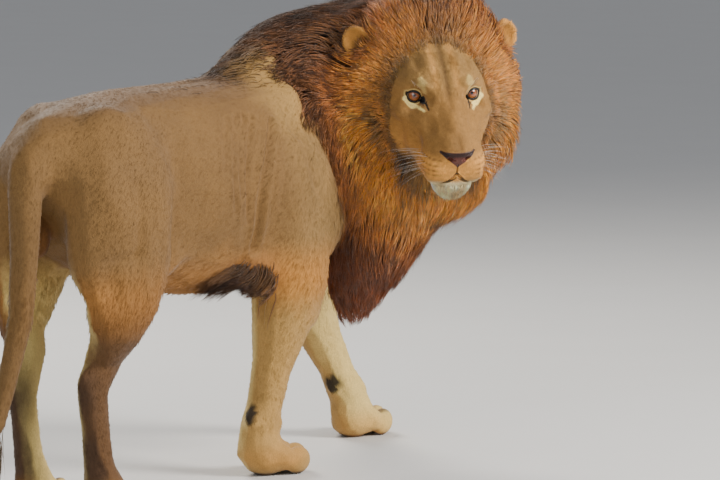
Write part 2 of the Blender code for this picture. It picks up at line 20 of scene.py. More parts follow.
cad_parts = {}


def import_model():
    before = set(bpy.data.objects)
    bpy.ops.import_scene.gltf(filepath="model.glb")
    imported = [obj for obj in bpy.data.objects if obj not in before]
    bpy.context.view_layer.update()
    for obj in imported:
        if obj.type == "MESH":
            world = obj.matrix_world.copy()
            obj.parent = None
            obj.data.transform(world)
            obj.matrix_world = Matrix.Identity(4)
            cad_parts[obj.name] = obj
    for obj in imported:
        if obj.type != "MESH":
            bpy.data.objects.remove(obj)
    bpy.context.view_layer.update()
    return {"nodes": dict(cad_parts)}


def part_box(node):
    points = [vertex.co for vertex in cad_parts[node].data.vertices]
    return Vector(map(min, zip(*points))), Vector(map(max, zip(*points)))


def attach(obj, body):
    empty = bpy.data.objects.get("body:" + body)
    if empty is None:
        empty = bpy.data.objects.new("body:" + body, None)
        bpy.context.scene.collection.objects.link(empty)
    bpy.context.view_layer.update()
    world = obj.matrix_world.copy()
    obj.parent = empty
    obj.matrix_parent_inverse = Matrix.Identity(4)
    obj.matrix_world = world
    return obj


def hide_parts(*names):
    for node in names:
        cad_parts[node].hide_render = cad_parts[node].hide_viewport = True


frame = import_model()

# ---------------------------------------------------------------- sizes and frames
SKIN_VOXEL = 0.006
SKIN_TRIANGLES = 68000
EYE_RADIUS = 0.0205
SHORT_DEPTH, FACE_DEPTH, MANE_DEPTH = 0.0035, 0.002, 0.030
RIGHT, LEFT = -1, 1
SIDES = (LEFT, RIGHT)
SIDE_NAMES = {LEFT: "left", RIGHT: "right"}
RNG = np.random.default_rng(7)
SPARSE = 1.0
DOWN = np.array((0.0, 0.0, -1.0))

# The body's frame is forward (-Y), left (+X), up. Its origin comes from the eyes' place in it.
BODY = Matrix(((0, 1, 0), (-1, 0, 0), (0, 0, 1))).to_4x4()
EYES_FORWARD, EYES_LEFT = 0.444, -0.413
EYE_CENTRES = {side: sum(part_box(SIDE_NAMES[side] + "_eye"), Vector()) / 2 for side in SIDES}
BETWEEN_EYES = (EYE_CENTRES[LEFT] + EYE_CENTRES[RIGHT]) / 2
ORIGIN = np.array((BETWEEN_EYES.x - EYES_LEFT, BETWEEN_EYES.y + EYES_FORWARD, 0.0))

# The head's frame is +X to the nose and +Y to its left, from between the eyes.
HEAD_TILT = Matrix.Rotation(math.radians(-134.5), 4, "Z")
for tilt_axis, tilt_degrees in (("Y", 13.5), ("X", 1.5)):
    HEAD_TILT = HEAD_TILT @ Matrix.Rotation(math.radians(tilt_degrees), 4, tilt_axis)
HEAD = np.array(Matrix.Translation(BETWEEN_EYES) @ BODY @ HEAD_TILT)
HEAD_TURN, HEAD_ORIGIN = HEAD[:3, :3], HEAD[:3, 3]
EAR = {side: np.array((-0.142, side * 0.180, 0.092)) for side in SIDES}


def world(forward, left, up):
    """A point of the body's frame in the model's."""
    return np.array((left, -forward, up)) + ORIGIN


def direction(forward, left, up):
    """A direction of the body's frame, of length one."""
    way = np.array((left, -forward, up), float)
    return way / np.linalg.norm(way)


def body_of(points):
    """Forward, left and up of each point."""
    local = points - ORIGIN
    return np.stack((-local[:, 1], local[:, 0], local[:, 2]), axis=1)


def head_of(points):
    return (points - HEAD_ORIGIN) @ HEAD_TURN


def from_head(local):
    return np.asarray(local, float) @ HEAD_TURN.T + HEAD_ORIGIN


def head_way(way):
    """A direction of the head's frame in the model's."""
    return np.asarray(way, float) @ HEAD_TURN.T


# ---------------------------------------------------------------- small tools
def ramp(values, low, high):
    """A smooth step: 0 at low, 1 at high."""
    t = np.clip((values - low) / (high - low), 0, 1)
    return t * t * (3 - 2 * t)


def bump(values, middle, width):
    """1 at middle, falling smoothly to 0 some widths away."""
    return np.exp(-(((values - middle) / width) ** 2))


def length_of(vectors):
    return np.linalg.norm(vectors, axis=-1)


def unit(vectors):
    return vectors / np.maximum(np.linalg.norm(vectors, axis=-1, keepdims=True), 1e-9)


def within(points, centre, far, full):
    """1 closer to a centre than full, 0 beyond far."""
    return ramp(-length_of(points - centre), -far, -full)


def dome(points, centre, radii, power=2):
    """A column of 1 at a centre, falling smoothly to 0 at the radii."""
    away = (points - centre) / radii
    return np.clip(1 - np.sum(away**2, axis=1), 0, 1)[:, None] ** power


def ear_gap(local):
    """Distance to the nearer ear's middle."""
    return np.minimum(*[length_of(local - EAR[side]) for side in SIDES])


def near_ears(local, far, full, offset=(0, 0, 0)):
    """1 near each ear, with an offset from its middle that is given for the left ear."""
    x, y, z = offset
    return np.maximum(*[within(local - EAR[side], (x, side * y, z), far, full) for side in SIDES])


def mix(a, b, share):
    share = np.asarray(share)
    if share.ndim == 1:
        share = share[:, None]
    return a * (1 - share) + b * share


def linear(red, green, blue):
    """A colour from its usual 0 to 255 values."""
    c = np.array((red, green, blue)) / 255
    return np.where(c <= 0.04045, c / 12.92, ((c + 0.055) / 1.055) ** 2.4)


def spline(points, steps=8):
    """Catmull-Rom through rows of numbers."""
    rows = np.array(points, float)
    padded = np.vstack([2 * rows[0] - rows[1], rows, 2 * rows[-1] - rows[-2]])
    out = []
    for i in range(len(rows) - 1):
        a, b, c, d = padded[i : i + 4]
        for t in np.arange(steps) / steps:
            curve = 2 * b + (c - a) * t + (2 * a - 5 * b + 4 * c - d) * t * t
            out.append(0.5 * (curve + (3 * b - a - 3 * c + d) * t**3))
    return np.array(out + [rows[-1]])


def hash_noise(cells):
    """A fixed random number from 0 to 1 for each whole-number cell."""
    seed = cells.astype(np.int64) @ np.array((73856093, 19349663, 83492791))
    seed = (seed ^ (seed >> 13)) * 1274126177
    return ((seed ^ (seed >> 16)) & 0xFFFF) / 65535.0


def noise(points, size):
    """Smooth noise from 0 to 1, with features of that size."""
    scaled = points / size
    cell = np.floor(scaled)
    t = scaled - cell
    t = t * t * (3 - 2 * t)
    total = np.zeros(len(points))
    for corner in np.ndindex(2, 2, 2):
        offset = np.array(corner)
        weight = np.prod(np.where(offset, t, 1 - t), axis=1)
        total += weight * hash_noise(cell + offset)
    return total


# ---------------------------------------------------------------- meshes as arrays
def read(items, field, width, kind=np.float32):
    """One field of every item, in rows of that width."""
    flat = np.empty(len(items) * width, kind)
    items.foreach_get(field, flat)
    return flat.reshape(-1, width)


def mesh_from(name, points, triangles):
    mesh = bpy.data.meshes.new(name)
    mesh.vertices.add(len(points))
    mesh.vertices.foreach_set("co", points.astype(np.float32).ravel())
    mesh.loops.add(triangles.size)
    mesh.loops.foreach_set("vertex_index", triangles.astype(np.int32).ravel())
    mesh.polygons.add(len(triangles))
    mesh.polygons.foreach_set("loop_start", np.arange(0, triangles.size, 3, dtype=np.int32))
    mesh.update(calc_edges=True)
    return mesh


def mesh_of(name, bm):
    mesh = bpy.data.meshes.new(name)
    bm.to_mesh(mesh)
    bm.free()
    return mesh


def add_object(name, data):
    obj = bpy.data.objects.new(name, data)
    bpy.context.scene.collection.objects.link(obj)
    return obj


def set_points(mesh, points):
    mesh.vertices.foreach_set("co", points.astype(np.float32).ravel())
    mesh.update()


def apply_modifiers(obj):
    graph = bpy.context.evaluated_depsgraph_get()
    mesh = bpy.data.meshes.new_from_object(obj.evaluated_get(graph))
    obj.modifiers.clear()
    obj.data = mesh


class Surface:
    """A mesh's points and triangles, with what smoothing and sculpting need."""

    def __init__(self, mesh):
        mesh.calc_loop_triangles()
        self.points = read(mesh.vertices, "co", 3).astype(float)
        self.triangles = read(mesh.loop_triangles, "vertices", 3, np.int32)
        self.one, self.two = read(mesh.edges, "vertices", 2, np.int32).T
        count = np.bincount(self.one, minlength=len(self.points))
        count += np.bincount(self.two, minlength=len(self.points))
        self.count = np.maximum(count, 1)[:, None]

    def mean(self, field):
        """The mean of each point's neighbours."""
        total = np.empty_like(field)
        for k in range(field.shape[1]):
            total[:, k] = np.bincount(self.one, field[self.two, k], len(self.points))
            total[:, k] += np.bincount(self.two, field[self.one, k], len(self.points))
        return total / self.count

    def spread(self, field, rounds):
        """A field blurred over the surface."""
        flat = field.ndim == 1
        field = field[:, None].copy() if flat else field.copy()
        for _ in range(rounds):
            field += 0.7 * (self.mean(field) - field)
        return field[:, 0] if flat else field

    def smooth(self, rounds, share=1.0, keep_size=True):
        share = np.asarray(share, float)
        share = share[:, None] if share.ndim == 1 else share
        for _ in range(rounds):
            self.points += 0.55 * share * (self.mean(self.points) - self.points)
            if keep_size:
                self.points -= 0.565 * share * (self.mean(self.points) - self.points)

    def face_normals(self):
        a, b, c = (self.points[self.triangles[:, k]] for k in range(3))
        return np.cross(b - a, c - a)

    def normals(self):
        faces = self.face_normals()
        total = np.zeros_like(self.points)
        for axis, corner in np.ndindex(3, 3):
            corners = self.triangles[:, corner]
            total[:, axis] += np.bincount(corners, faces[:, axis], len(self.points))
        return unit(total)

    def tree(self):
        return BVHTree.FromPolygons(self.points.tolist(), self.triangles.tolist())


def nearest_on(tree, points):
    """For each point, the nearest place on the tree's mesh and its triangle."""
    found = [tree.find_nearest(point) for point in points.tolist()]
    return np.array([hit[0] for hit in found]), np.array([hit[2] for hit in found])


# ---------------------------------------------------------------- the solids as one shape
def cad_shape():
    """All the solids as one set of triangles, with the node's number for each triangle."""
    names = sorted(frame["nodes"])
    points, triangles, owner = [], [], []
    start = 0
    for number, name in enumerate(names):
        bm = bmesh.new()
        bm.from_mesh(frame["nodes"][name].data)
        bmesh.ops.remove_doubles(bm, verts=bm.verts, dist=1e-5)
        part = Surface(mesh_of("node", bm))
        points.append(part.points + 0.0006 * part.normals())
        triangles.append(part.triangles + start)
        owner.append(np.full(len(part.triangles), number))
        start += len(part.points)
    return np.vstack(points), np.vstack(triangles), np.concatenate(owner), names


def fused(points, triangles):
    """The solids fused and smoothed: the surface that the coat's tips reach."""
    obj = add_object("skin", mesh_from("skin", points, triangles))
    remesh = obj.modifiers.new("fuse", "REMESH")
    remesh.mode = "VOXEL"
    remesh.voxel_size = SKIN_VOXEL
    apply_modifiers(obj)
    surface = Surface(obj.data)
    local = head_of(surface.points)
    up = body_of(surface.points)[:, 2]
    on_face = ramp(local[:, 0], -0.12, -0.06) * within(local, 0, 0.30, 0.24)
    firm = on_face * 0.6 + near_ears(local, 0.08, 0.06) + ramp(-up, -0.16, -0.11)
    firm = np.clip(firm, 0, 1)
    surface.smooth(60, 1 - 0.93 * firm)
    surface.smooth(8, 1 - 0.5 * firm)
    return obj, surface


# ---------------------------------------------------------------- regions and the lie of the coat
# The fringes behind the elbows: place (forward, left, up) and reach.
ELBOWS = (
    ((-0.010, -0.140, 0.500), (0.085, 0.070, 0.045)),
    ((0.385, 0.130, 0.490), (0.080, 0.060, 0.045)),
)


def find_regions(surface, solids, owner, names):
    """How much each point belongs to each kind of coat, from 0 to 1, with soft borders."""
    points = surface.points
    _, face = nearest_on(solids, points)
    node = owner[face]
    body = body_of(points)
    forward, left, up = body.T

    def inside(*nodes):
        return sum((node == names.index(name)).astype(float) for name in nodes)

    ears = inside("left_ear", "right_ear")
    ear = ears * ramp(-ear_gap(head_of(points)), -0.053, -0.045)
    mane = inside("mane_ruff", "mane_neck", "mane_chest") + ears - ear
    cape = ramp(forward, 0.215, 0.255) * ramp(up, 0.76, 0.86) * inside("trunk")
    mane = np.maximum(mane, cape)
    crest = bump(left, 0.0, 0.035) * ramp(forward, 0.02, 0.10) * ramp(up, 0.93, 0.97)
    elbows = [ramp(-length_of((body - place) / reach), -1.1, -0.8) for place, reach in ELBOWS]
    fields = {
        "mane": np.clip(mane + crest * (1 - mane), 0, 1),
        "ruff": inside("mane_ruff"),
        "chest": inside("mane_chest"),
        "crest": crest,
        "tuft": inside("tail_tuft"),
        "elbow": np.maximum(*elbows),
        "face": inside("head", "nose", "lower_jaw", "left_eye", "right_eye"),
        "ear": ear,
        "tail": inside("tail", "tail_tuft"),
        "scrotum": inside("scrotum"),
    }
    regions = {key: surface.spread(field, 6) for key, field in fields.items()}
    regions["local"] = head_of(points)
    return regions


# The lie of the coat at a few places: forward, left, up of the place, then of the direction.
# Places off the middle stand for both sides, apart from those of the stepping foreleg.
LIE = (
    (0.30, 0.00, 1.00, -1.0, 0.0, 0.1),
    (0.10, 0.00, 0.99, -1.0, 0.0, 0.0),
    (-0.20, 0.00, 0.98, -1.0, 0.0, 0.0),
    (-0.50, 0.00, 0.97, -1.0, 0.0, -0.1),
    (-0.68, 0.00, 0.88, -0.6, 0.0, -1.0),
    (0.10, 0.18, 0.80, -1.0, 0.0, -0.5),
    (-0.15, 0.18, 0.75, -1.0, 0.0, -0.35),
    (-0.15, 0.12, 0.55, -1.0, -0.1, -0.2),
    (0.05, 0.10, 0.50, -1.0, 0.0, -0.2),
    (-0.33, 0.15, 0.75, -1.0, 0.0, -0.3),
    (-0.35, 0.12, 0.58, -0.8, 0.0, -0.5),
    (-0.50, 0.19, 0.85, -0.8, 0.0, -0.7),
    (-0.50, 0.20, 0.70, -0.4, 0.0, -1.0),
    (-0.65, 0.15, 0.70, -0.4, 0.0, -1.0),
    (-0.52, 0.16, 0.52, -0.4, 0.0, -1.0),
    (-0.62, 0.12, 0.35, -0.2, 0.0, -1.0),
    (-0.62, 0.10, 0.18, 0.05, 0.0, -1.0),
    (-0.58, 0.10, 0.07, 0.7, 0.0, -0.6),
    (-0.50, 0.10, 0.04, 1.0, 0.0, -0.3),
    (0.28, 0.18, 0.85, -0.5, 0.0, -0.9),
    (0.25, 0.20, 0.70, -0.3, 0.0, -1.0),
    (0.18, 0.17, 0.55, -0.3, 0.0, -1.0),
    (0.16, 0.14, 0.35, -0.1, 0.0, -1.0),
    (0.14, 0.09, 0.15, 0.0, 0.0, -1.0),
    (0.17, 0.09, 0.07, 0.8, 0.0, -0.6),
    (0.22, 0.09, 0.04, 1.0, 0.0, -0.3),
)
LEFT_FORELEG_LIE = (
    (0.48, 0.18, 0.80, -0.3, 0.0, -1.0),
    (0.53, 0.18, 0.62, -0.1, 0.0, -1.0),
    (0.60, 0.14, 0.45, 0.35, 0.0, -1.0),
    (0.70, 0.10, 0.25, 0.45, 0.0, -1.0),
    (0.76, 0.09, 0.12, 0.5, 0.0, -1.0),
    (0.80, 0.09, 0.07, 0.9, 0.0, -0.5),
    (0.85, 0.09, 0.04, 1.0, 0.0, -0.3),
)
BACK_OF_HEAD = from_head((-0.10, 0.0, 0.0))


def body_lie(points):
    """The lie of the short coat, mixed from the guide places near each point."""
    guides = []
    for guide in LIE:
        forward, left, up = guide[:3]
        if forward <= 0.12 or left <= 0.02 or up >= 0.9:
            guides.append(guide)
        if left > 0:
            guides.append((forward, -left, up, guide[3], -guide[4], guide[5]))
    total = np.zeros_like(points)
    for guide in (*guides, *LEFT_FORELEG_LIE):
        gap = np.sum((points - world(*guide[:3])) ** 2, axis=1)
        total += direction(*guide[3:]) / (gap[:, None] ** 2 + 1e-5)
    return unit(total)


def face_lie(local):
    """From the nose outwards and back over the face."""
    away = (local - (0.175, 0.0, -0.105)) * (0.8, 1.0, 1.0)
    away[:, 0] -= 0.03
    chin = ramp(-local[:, 2], 0.155, 0.175)
    return head_way(unit(mix(unit(away), np.array((-0.25, 0.0, -1.0)), chin)))


def ruff_lie(local):
    """Out from the face and back, the lower part falling."""
    spoke = local * (0.0, 1.0, 1.0) + (0.0, 0.0, 0.045)
    way = 0.85 * unit(spoke) + np.array((-0.60, 0.0, 0.0))
    low = ramp(-local[:, 2], -0.06, 0.16)[:, None]
    return unit(head_way(way) + low * 0.85 * DOWN)


def neck_lie(points):
    """Away from the head and down with its own weight."""
    away = unit(points - BACK_OF_HEAD)
    fall = (0.55 + 0.8 * ramp(-body_of(points)[:, 2], -0.95, -0.60))[:, None]
    return unit(0.75 * away + fall * DOWN + 0.25 * direction(-1, 0, 0))


def lie_of(surface, regions):
    """The lie of the coat at each point, along the surface."""
    points, local = surface.points, regions["local"]
    way = body_lie(points)
    way = mix(way, direction(-0.22, 0.02, -1.0), np.clip(regions["tail"], 0, 1))
    way = mix(way, neck_lie(points), np.clip(regions["mane"], 0, 1))
    way = mix(way, ruff_lie(local), regions["ruff"])
    way = mix(way, direction(-0.06, 0.0, -1.0), regions["chest"])
    way = mix(way, face_lie(local), regions["face"])
    for side in SIDES:
        near = regions["ear"] * (local[:, 1] * side > 0)
        outwards = local - (EAR[side] - np.array((0.0, side * 0.02, 0.045)))
        way = mix(way, head_way(unit(outwards)), near)
    for place, _ in ELBOWS:
        near = regions["elbow"] * (length_of(body_of(points) - place) < 0.15)
        way = mix(way, direction(-0.75, 0.0, -0.75), near)
    way = surface.spread(way, 14)
    normals = surface.normals()
    way -= normals * np.sum(way * normals, axis=1, keepdims=True)
    return unit(way)


# ---------------------------------------------------------------- the skin: body
def depth_of(regions, surface):
    """How far the skin lies inside the coat's tips."""
    depth = SHORT_DEPTH + (MANE_DEPTH - SHORT_DEPTH) * regions["mane"] * (1 - 0.6 * regions["crest"])
    depth = np.where(regions["tuft"] > 0.5, 0.020, depth)
    depth = np.maximum(depth, 0.016 * regions["elbow"])
    foot = ramp(-body_of(surface.points)[:, 2], -0.14, -0.10) * (1 - regions["tail"])
    for wanted, share in ((FACE_DEPTH, regions["face"]), (0.0012, regions["ear"]), (0.002, foot)):
        depth = depth + (wanted - depth) * share
    return surface.spread(depth, 10)


def sink(surface, depth, rounds=8):
    """Moves the skin inwards little by little, easing it where it moves far."""
    ease = ramp(depth, 0.006, 0.015)
    floor = body_of(surface.points)[:, 2] < 0.0015
    for _ in range(rounds):
        normals = unit(surface.spread(surface.normals(), 2))
        step = depth[:, None] / rounds
        surface.points -= np.where(floor[:, None], 0, normals * step)
        surface.smooth(2, 0.8 * ease, keep_size=False)


def lay_on(tree, path):
    """A smooth path through the given points, laid on the surface."""
    return nearest_on(tree, spline(path, 6))[0]


def distance_to_path(points, path, reach):
    """Each point's distance to a path, or reach if it is further."""
    low, high = path.min(axis=0) - reach, path.max(axis=0) + reach
    near = np.nonzero(np.all((points > low) & (points < high), axis=1))[0]
    found = np.full(len(points), reach)
    subject = points[near]
    best = np.full(len(near), reach)
    for a, b in zip(path, path[1:]):
        along = b - a
        t = np.clip((subject - a) @ along / max(along @ along, 1e-12), 0, 1)
        best = np.minimum(best, length_of(subject - a - t[:, None] * along))
    found[near] = best
    return found


def groove(surface, normals, path, width, depth, lips=0.0):
    """Presses a groove along a path, with raised lips beside it."""
    gap = distance_to_path(surface.points, path, 4 * width)
    profile = depth * bump(gap, 0, width) - lips * bump(gap, 1.7 * width, 0.7 * width)
    surface.points -= normals * profile[:, None]


# Swells (positive) and hollows of the body: centre, reach, amount and whether both sides have it.
BODY_FORMS = (
    ((0.200, 0.13, 0.920), (0.07, 0.07, 0.10), 0.011, True),
    ((0.105, 0.19, 0.700), (0.11, 0.06, 0.15), 0.009, True),
    ((0.250, -0.19, 0.720), (0.06, 0.06, 0.14), 0.007, False),
    ((-0.055, 0.19, 0.740), (0.055, 0.08, 0.20), -0.010, True),
    ((0.120, -0.20, 0.580), (0.08, 0.06, 0.08), 0.006, False),
    ((-0.190, 0.19, 0.740), (0.09, 0.08, 0.17), 0.006, True),
    ((-0.320, 0.17, 0.800), (0.07, 0.08, 0.14), -0.012, True),
    ((-0.370, 0.16, 0.650), (0.06, 0.06, 0.12), -0.009, True),
    ((-0.470, 0.19, 0.740), (0.09, 0.06, 0.16), 0.009, True),
    ((-0.630, 0.17, 0.740), (0.06, 0.07, 0.16), 0.008, True),
    ((-0.560, 0.19, 0.680), (0.025, 0.06, 0.16), -0.008, True),
    ((-0.560, 0.09, 0.930), (0.08, 0.05, 0.05), 0.009, True),
    ((-0.480, 0.12, 0.900), (0.05, 0.06, 0.05), -0.006, True),
    ((-0.640, 0.13, 0.420), (0.025, 0.05, 0.07), -0.007, True),
    ((0.140, 0.15, 0.400), (0.030, 0.05, 0.10), -0.004, True),
    ((-0.100, 0.00, 0.985), (0.30, 0.020, 0.03), 0.003, True),
)

# Folds of loose skin behind the shoulder: forward and up along each, then depth and width.
FOLDS = (
    (((0.075, 0.90), (0.028, 0.825), (-0.012, 0.75), (-0.028, 0.69), (-0.028, 0.57)), 0.0105, 0.0125),
    (((0.150, 0.94), (0.164, 0.86), (0.160, 0.80), (0.175, 0.72)), 0.0050, 0.0160),
    (((0.095, 0.83), (0.060, 0.76), (0.045, 0.68)), 0.0035, 0.0110),
    (((-0.005, 0.93), (-0.034, 0.888), (-0.055, 0.82), (-0.063, 0.74), (-0.060, 0.65)), 0.0048, 0.0085),
    (((-0.035, 0.94), (-0.072, 0.87), (-0.094, 0.79), (-0.095, 0.71)), 0.0042, 0.0085),
    (((-0.067, 0.94), (-0.105, 0.85), (-0.124, 0.75), (-0.118, 0.67)), 0.0036, 0.0090),
    (((-0.100, 0.94), (-0.140, 0.86), (-0.158, 0.78)), 0.0030, 0.0095),
)
FOLDS_AHEAD = {RIGHT: 0.0, LEFT: 0.17}


def blunt_bib(surface, regions):
    """Lifts the skin's tip under the chest's hair, so that loose hair alone forms the tip."""
    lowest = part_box("mane_chest")[0].z + 0.085
    chest = ramp(regions["chest"], 0.2, 0.6)
    z = surface.points[:, 2]
    z += np.maximum(lowest - z, 0) * chest
    surface.smooth(12, chest * ramp(lowest + 0.03 - z, 0, 0.03), keep_size=False)


def model_body(surface):
    normals = unit(surface.spread(surface.normals(), 6))
    for (forward, left, up), radii, amount, both in BODY_FORMS:
        local = body_of(surface.points)
        for side in SIDES if both else (LEFT,):
            weight = dome(local, (forward, side * left, up), radii)
            surface.points += normals * (amount * weight)
    tree = surface.tree()
    normals = surface.normals()
    for side, ahead in FOLDS_AHEAD.items():
        for line, depth, width in FOLDS:
            path = lay_on(tree, [world(f + ahead, side * 0.21, up) for f, up in line])
            groove(surface, normals, path, width, depth, 0.4 * depth)


# Each paw: heel (forward, left), degrees turned outwards, and size.
PAWS = (
    ((0.112, -0.084), -8, 1.08),
    ((0.766, 0.068), 2, 1.08),
    ((-0.580, -0.098), -6, 0.97),
    ((-0.604, 0.082), 6, 0.97),
)
# The toes, in a paw's own measure: middle (forward, left, up) and radii.
TOES = np.array(
    (
        ((0.084, -0.050, 0.032), (0.037, 0.0205, 0.031)),
        ((0.108, -0.0185, 0.033), (0.038, 0.0200, 0.033)),
        ((0.108, 0.0185, 0.033), (0.038, 0.0200, 0.033)),
        ((0.084, 0.050, 0.032), (0.037, 0.0205, 0.031)),
    )
)
INSTEP, INSTEP_RADII, INSTEP_WAY = (0.052, 0.0, 0.078), (0.055, 0.050, 0.050), (0.7, 0.0, 0.7)


def paw_point(paw, forward, left, up):
    (heel_forward, heel_left), turn, size = paw
    cos, sin = math.cos(math.radians(turn)), math.sin(math.radians(turn))
    ahead = size * (forward * cos - left * sin)
    aside = size * (forward * sin + left * cos)
    return world(heel_forward + ahead, heel_left + aside, size * up)


def model_paws(surface):
    """Lays the skin of each paw over four rounded toes, parted by grooves."""
    for paw in PAWS:
        size = paw[2]
        middle = paw_point(paw, 0.0, 0.0, 0.0)
        axes = np.array([paw_point(paw, *way) - middle for way in np.eye(3)]) / size
        local = (surface.points - middle) @ axes.T / size
        x, y, z = local.T
        front = (x > 0.035) & (x < 0.17) & (np.abs(y) < 0.095) & (z < 0.080) & (z > 0.002)
        reach = np.array([length_of((local - centre) / radii) for centre, radii in TOES])
        nearest = reach.argmin(axis=0)
        centre, radii = TOES[nearest, 0], TOES[nearest, 1]
        q = (local - centre) / radii
        on_toe = centre + q / np.maximum(length_of(q), 1e-6)[:, None] * radii
        on_toe[:, 2] = np.maximum(on_toe[:, 2], 0.001)
        first, second = np.sort(reach, axis=0)[:2]
        share = front * ramp(x, 0.035, 0.075) * ramp(-first, -1.45, -1.15)
        moved = mix(local, on_toe, share)
        cleft = bump(second - first, 0, 0.14) * share * ramp(z, 0.006, 0.015)
        moved[:, 0] -= 0.0075 * cleft * ramp(x, 0.10, 0.13)
        moved[:, 2] -= 0.0070 * cleft * ramp(z, 0.030, 0.050)
        surface.points = np.where(front[:, None], moved * size @ axes + middle, surface.points)
        lift = 0.016 * dome(local, INSTEP, INSTEP_RADII)
        surface.points += lift * (paw_point(paw, *INSTEP_WAY) - middle)


def detail(obj, surface, chosen):
    """Splits the edges round the chosen points, so that finer shapes fit there."""
    set_points(obj.data, surface.points)
    bm = bmesh.new()
    bm.from_mesh(obj.data)
    bm.verts.ensure_lookup_table()
    picked = set(np.nonzero(chosen)[0].tolist())
    edges = [e for e in bm.edges if e.verts[0].index in picked and e.verts[1].index in picked]
    bmesh.ops.subdivide_edges(bm, edges=edges, cuts=1, use_grid_fill=True)
    bmesh.ops.triangulate(bm, faces=[f for f in bm.faces if len(f.verts) > 3])
    bm.to_mesh(obj.data)
    bm.free()
    return Surface(obj.data)


def thin_out(obj, surface):
    """Fewer triangles on the body, where the skin is plain."""
    set_points(obj.data, surface.points)
    local = head_of(surface.points)
    keep = within(local, (0.06, 0, -0.06), 0.24, 0.19)
    keep = np.maximum(keep, ramp(-body_of(surface.points)[:, 2], -0.14, -0.11))
    keep = np.maximum(keep, near_ears(local, 0.09, 0.07))
    coarse = 1 - 0.85 * keep
    group = obj.vertex_groups.new(name="coarse")
    levels = 10
    for level in range(levels + 1):
        chosen = np.nonzero(np.round(coarse * levels) == level)[0]
        group.add(chosen.tolist(), level / levels, "REPLACE")
    thin = obj.modifiers.new("thin", "DECIMATE")
    thin.ratio = SKIN_TRIANGLES / len(surface.triangles)
    thin.vertex_group = group.name
    thin.vertex_group_factor = 1.0
    apply_modifiers(obj)
    obj.vertex_groups.clear()
    return Surface(obj.data)


# ---------------------------------------------------------------- the skin: face
# Pulls on the face, in the head's frame: centre, reach, shift and whether both sides have it.
FACE_FORMS = (
    ((0.134, 0.046, -0.136), (0.044, 0.034, 0.036), (0.010, 0.010, -0.004), True),
    ((0.128, 0.045, -0.160), (0.052, 0.036, 0.028), (0.007, 0.011, -0.011), True),
    ((0.080, 0.072, -0.160), (0.045, 0.030, 0.028), (0.000, 0.006, -0.007), True),
    ((0.110, 0.030, -0.200), (0.050, 0.042, 0.032), (0.004, 0.001, 0.002), True),
    ((0.100, 0.000, -0.035), (0.090, 0.036, 0.055), (0.006, 0.000, 0.007), False),
    ((0.150, 0.020, -0.078), (0.045, 0.024, 0.030), (0.004, 0.002, 0.003), True),
    ((0.092, 0.052, -0.056), (0.055, 0.022, 0.038), (-0.009, -0.007, 0.000), True),
    ((0.078, 0.086, -0.110), (0.040, 0.034, 0.045), (0.000, -0.012, 0.002), True),
    ((0.026, 0.056, 0.034), (0.034, 0.036, 0.018), (0.012, 0.000, 0.003), True),
    ((0.050, 0.044, 0.004), (0.026, 0.016, 0.022), (-0.006, -0.004, 0.000), True),
    ((0.022, 0.108, -0.038), (0.045, 0.030, 0.026), (0.006, 0.009, 0.000), True),
    ((0.000, 0.118, -0.090), (0.040, 0.030, 0.040), (0.000, 0.006, 0.000), True),
    ((-0.010, 0.040, 0.075), (0.050, 0.028, 0.050), (0.006, 0.000, 0.007), True),
)
NOSTRIL, NOSTRIL_RADII = (0.184, 0.0210, -0.1090), (0.02, 0.0090, 0.0066)
# Lines of the face, in the head's frame. Those beside the middle have a twin on the right.
FURROW = ((0.085, 0, -0.016), (0.060, 0, 0.016), (0.010, 0, 0.064), (-0.030, 0, 0.092), (-0.056, 0, 0.110))
MOUTH = (
    *((0.180, 0.000, -0.153), (0.170, 0.012, -0.165), (0.160, 0.027, -0.173), (0.138, 0.047, -0.177)),
    *((0.110, 0.062, -0.174), (0.080, 0.074, -0.168), (0.050, 0.083, -0.164), (0.022, 0.090, -0.163)),
)
PHILTRUM = ((0.188, 0, -0.128), (0.187, 0, -0.140), (0.178, 0, -0.155))
NOSTRIL_SLIT = ((0.187, 0.012, -0.113), (0.183, 0.025, -0.103), (0.166, 0.043, -0.093))
TEAR_LINE = ((0.019, 0.058, -0.006), (0.034, 0.053, -0.010), (0.050, 0.049, -0.015), (0.068, 0.047, -0.023))
POUCH = ((0.036, 0.060, -0.030), (0.026, 0.074, -0.033), (0.008, 0.094, -0.018))
UNDER_EYE = (
    *((0.006, 0.094, -0.007), (0.013, 0.086, -0.017), (0.025, 0.074, -0.0235)),
    *((0.045, 0.065, -0.0245), (0.066, 0.059, -0.0235)),
)
OVER_EYE = ((0.036, 0.054, 0.018), (0.032, 0.056, 0.032), (0.022, 0.061, 0.046))
CHEEK_SHADE = (
    (-0.040, 0.130, -0.070),
    (-0.013, 0.120, -0.119),
    (0.000, 0.102, -0.154),
    (0.010, 0.088, -0.170),
)
LID_WIDTH, LID_TOP, LID_BOTTOM, LID_SLANT = 0.0176, 0.0108, 0.0112, 18
HALF_EYE_GAP, EYE_OUTWARDS, EYE_UPWARDS = 0.07, 20, 3


def mirrored(path, side):
    return [(x, side * y, z) for x, y, z in path]


def eye_axes(side):
    """The eye's own frame in the head's: out of the opening, towards the temple, and up."""
    out = Vector((1, 0, 0))
    out.rotate(Matrix.Rotation(math.radians(side * EYE_OUTWARDS), 3, "Z"))
    out.rotate(Matrix.Rotation(math.radians(-EYE_UPWARDS), 3, "Y"))
    temple = Vector((0, side, 0)) - out * out.y * side
    temple.normalize()
    up = out.cross(temple) * side
    slant = Matrix.Rotation(math.radians(side * LID_SLANT), 3, out)
    temple.rotate(slant)
    up.rotate(slant)
    return np.array((out, temple, up))


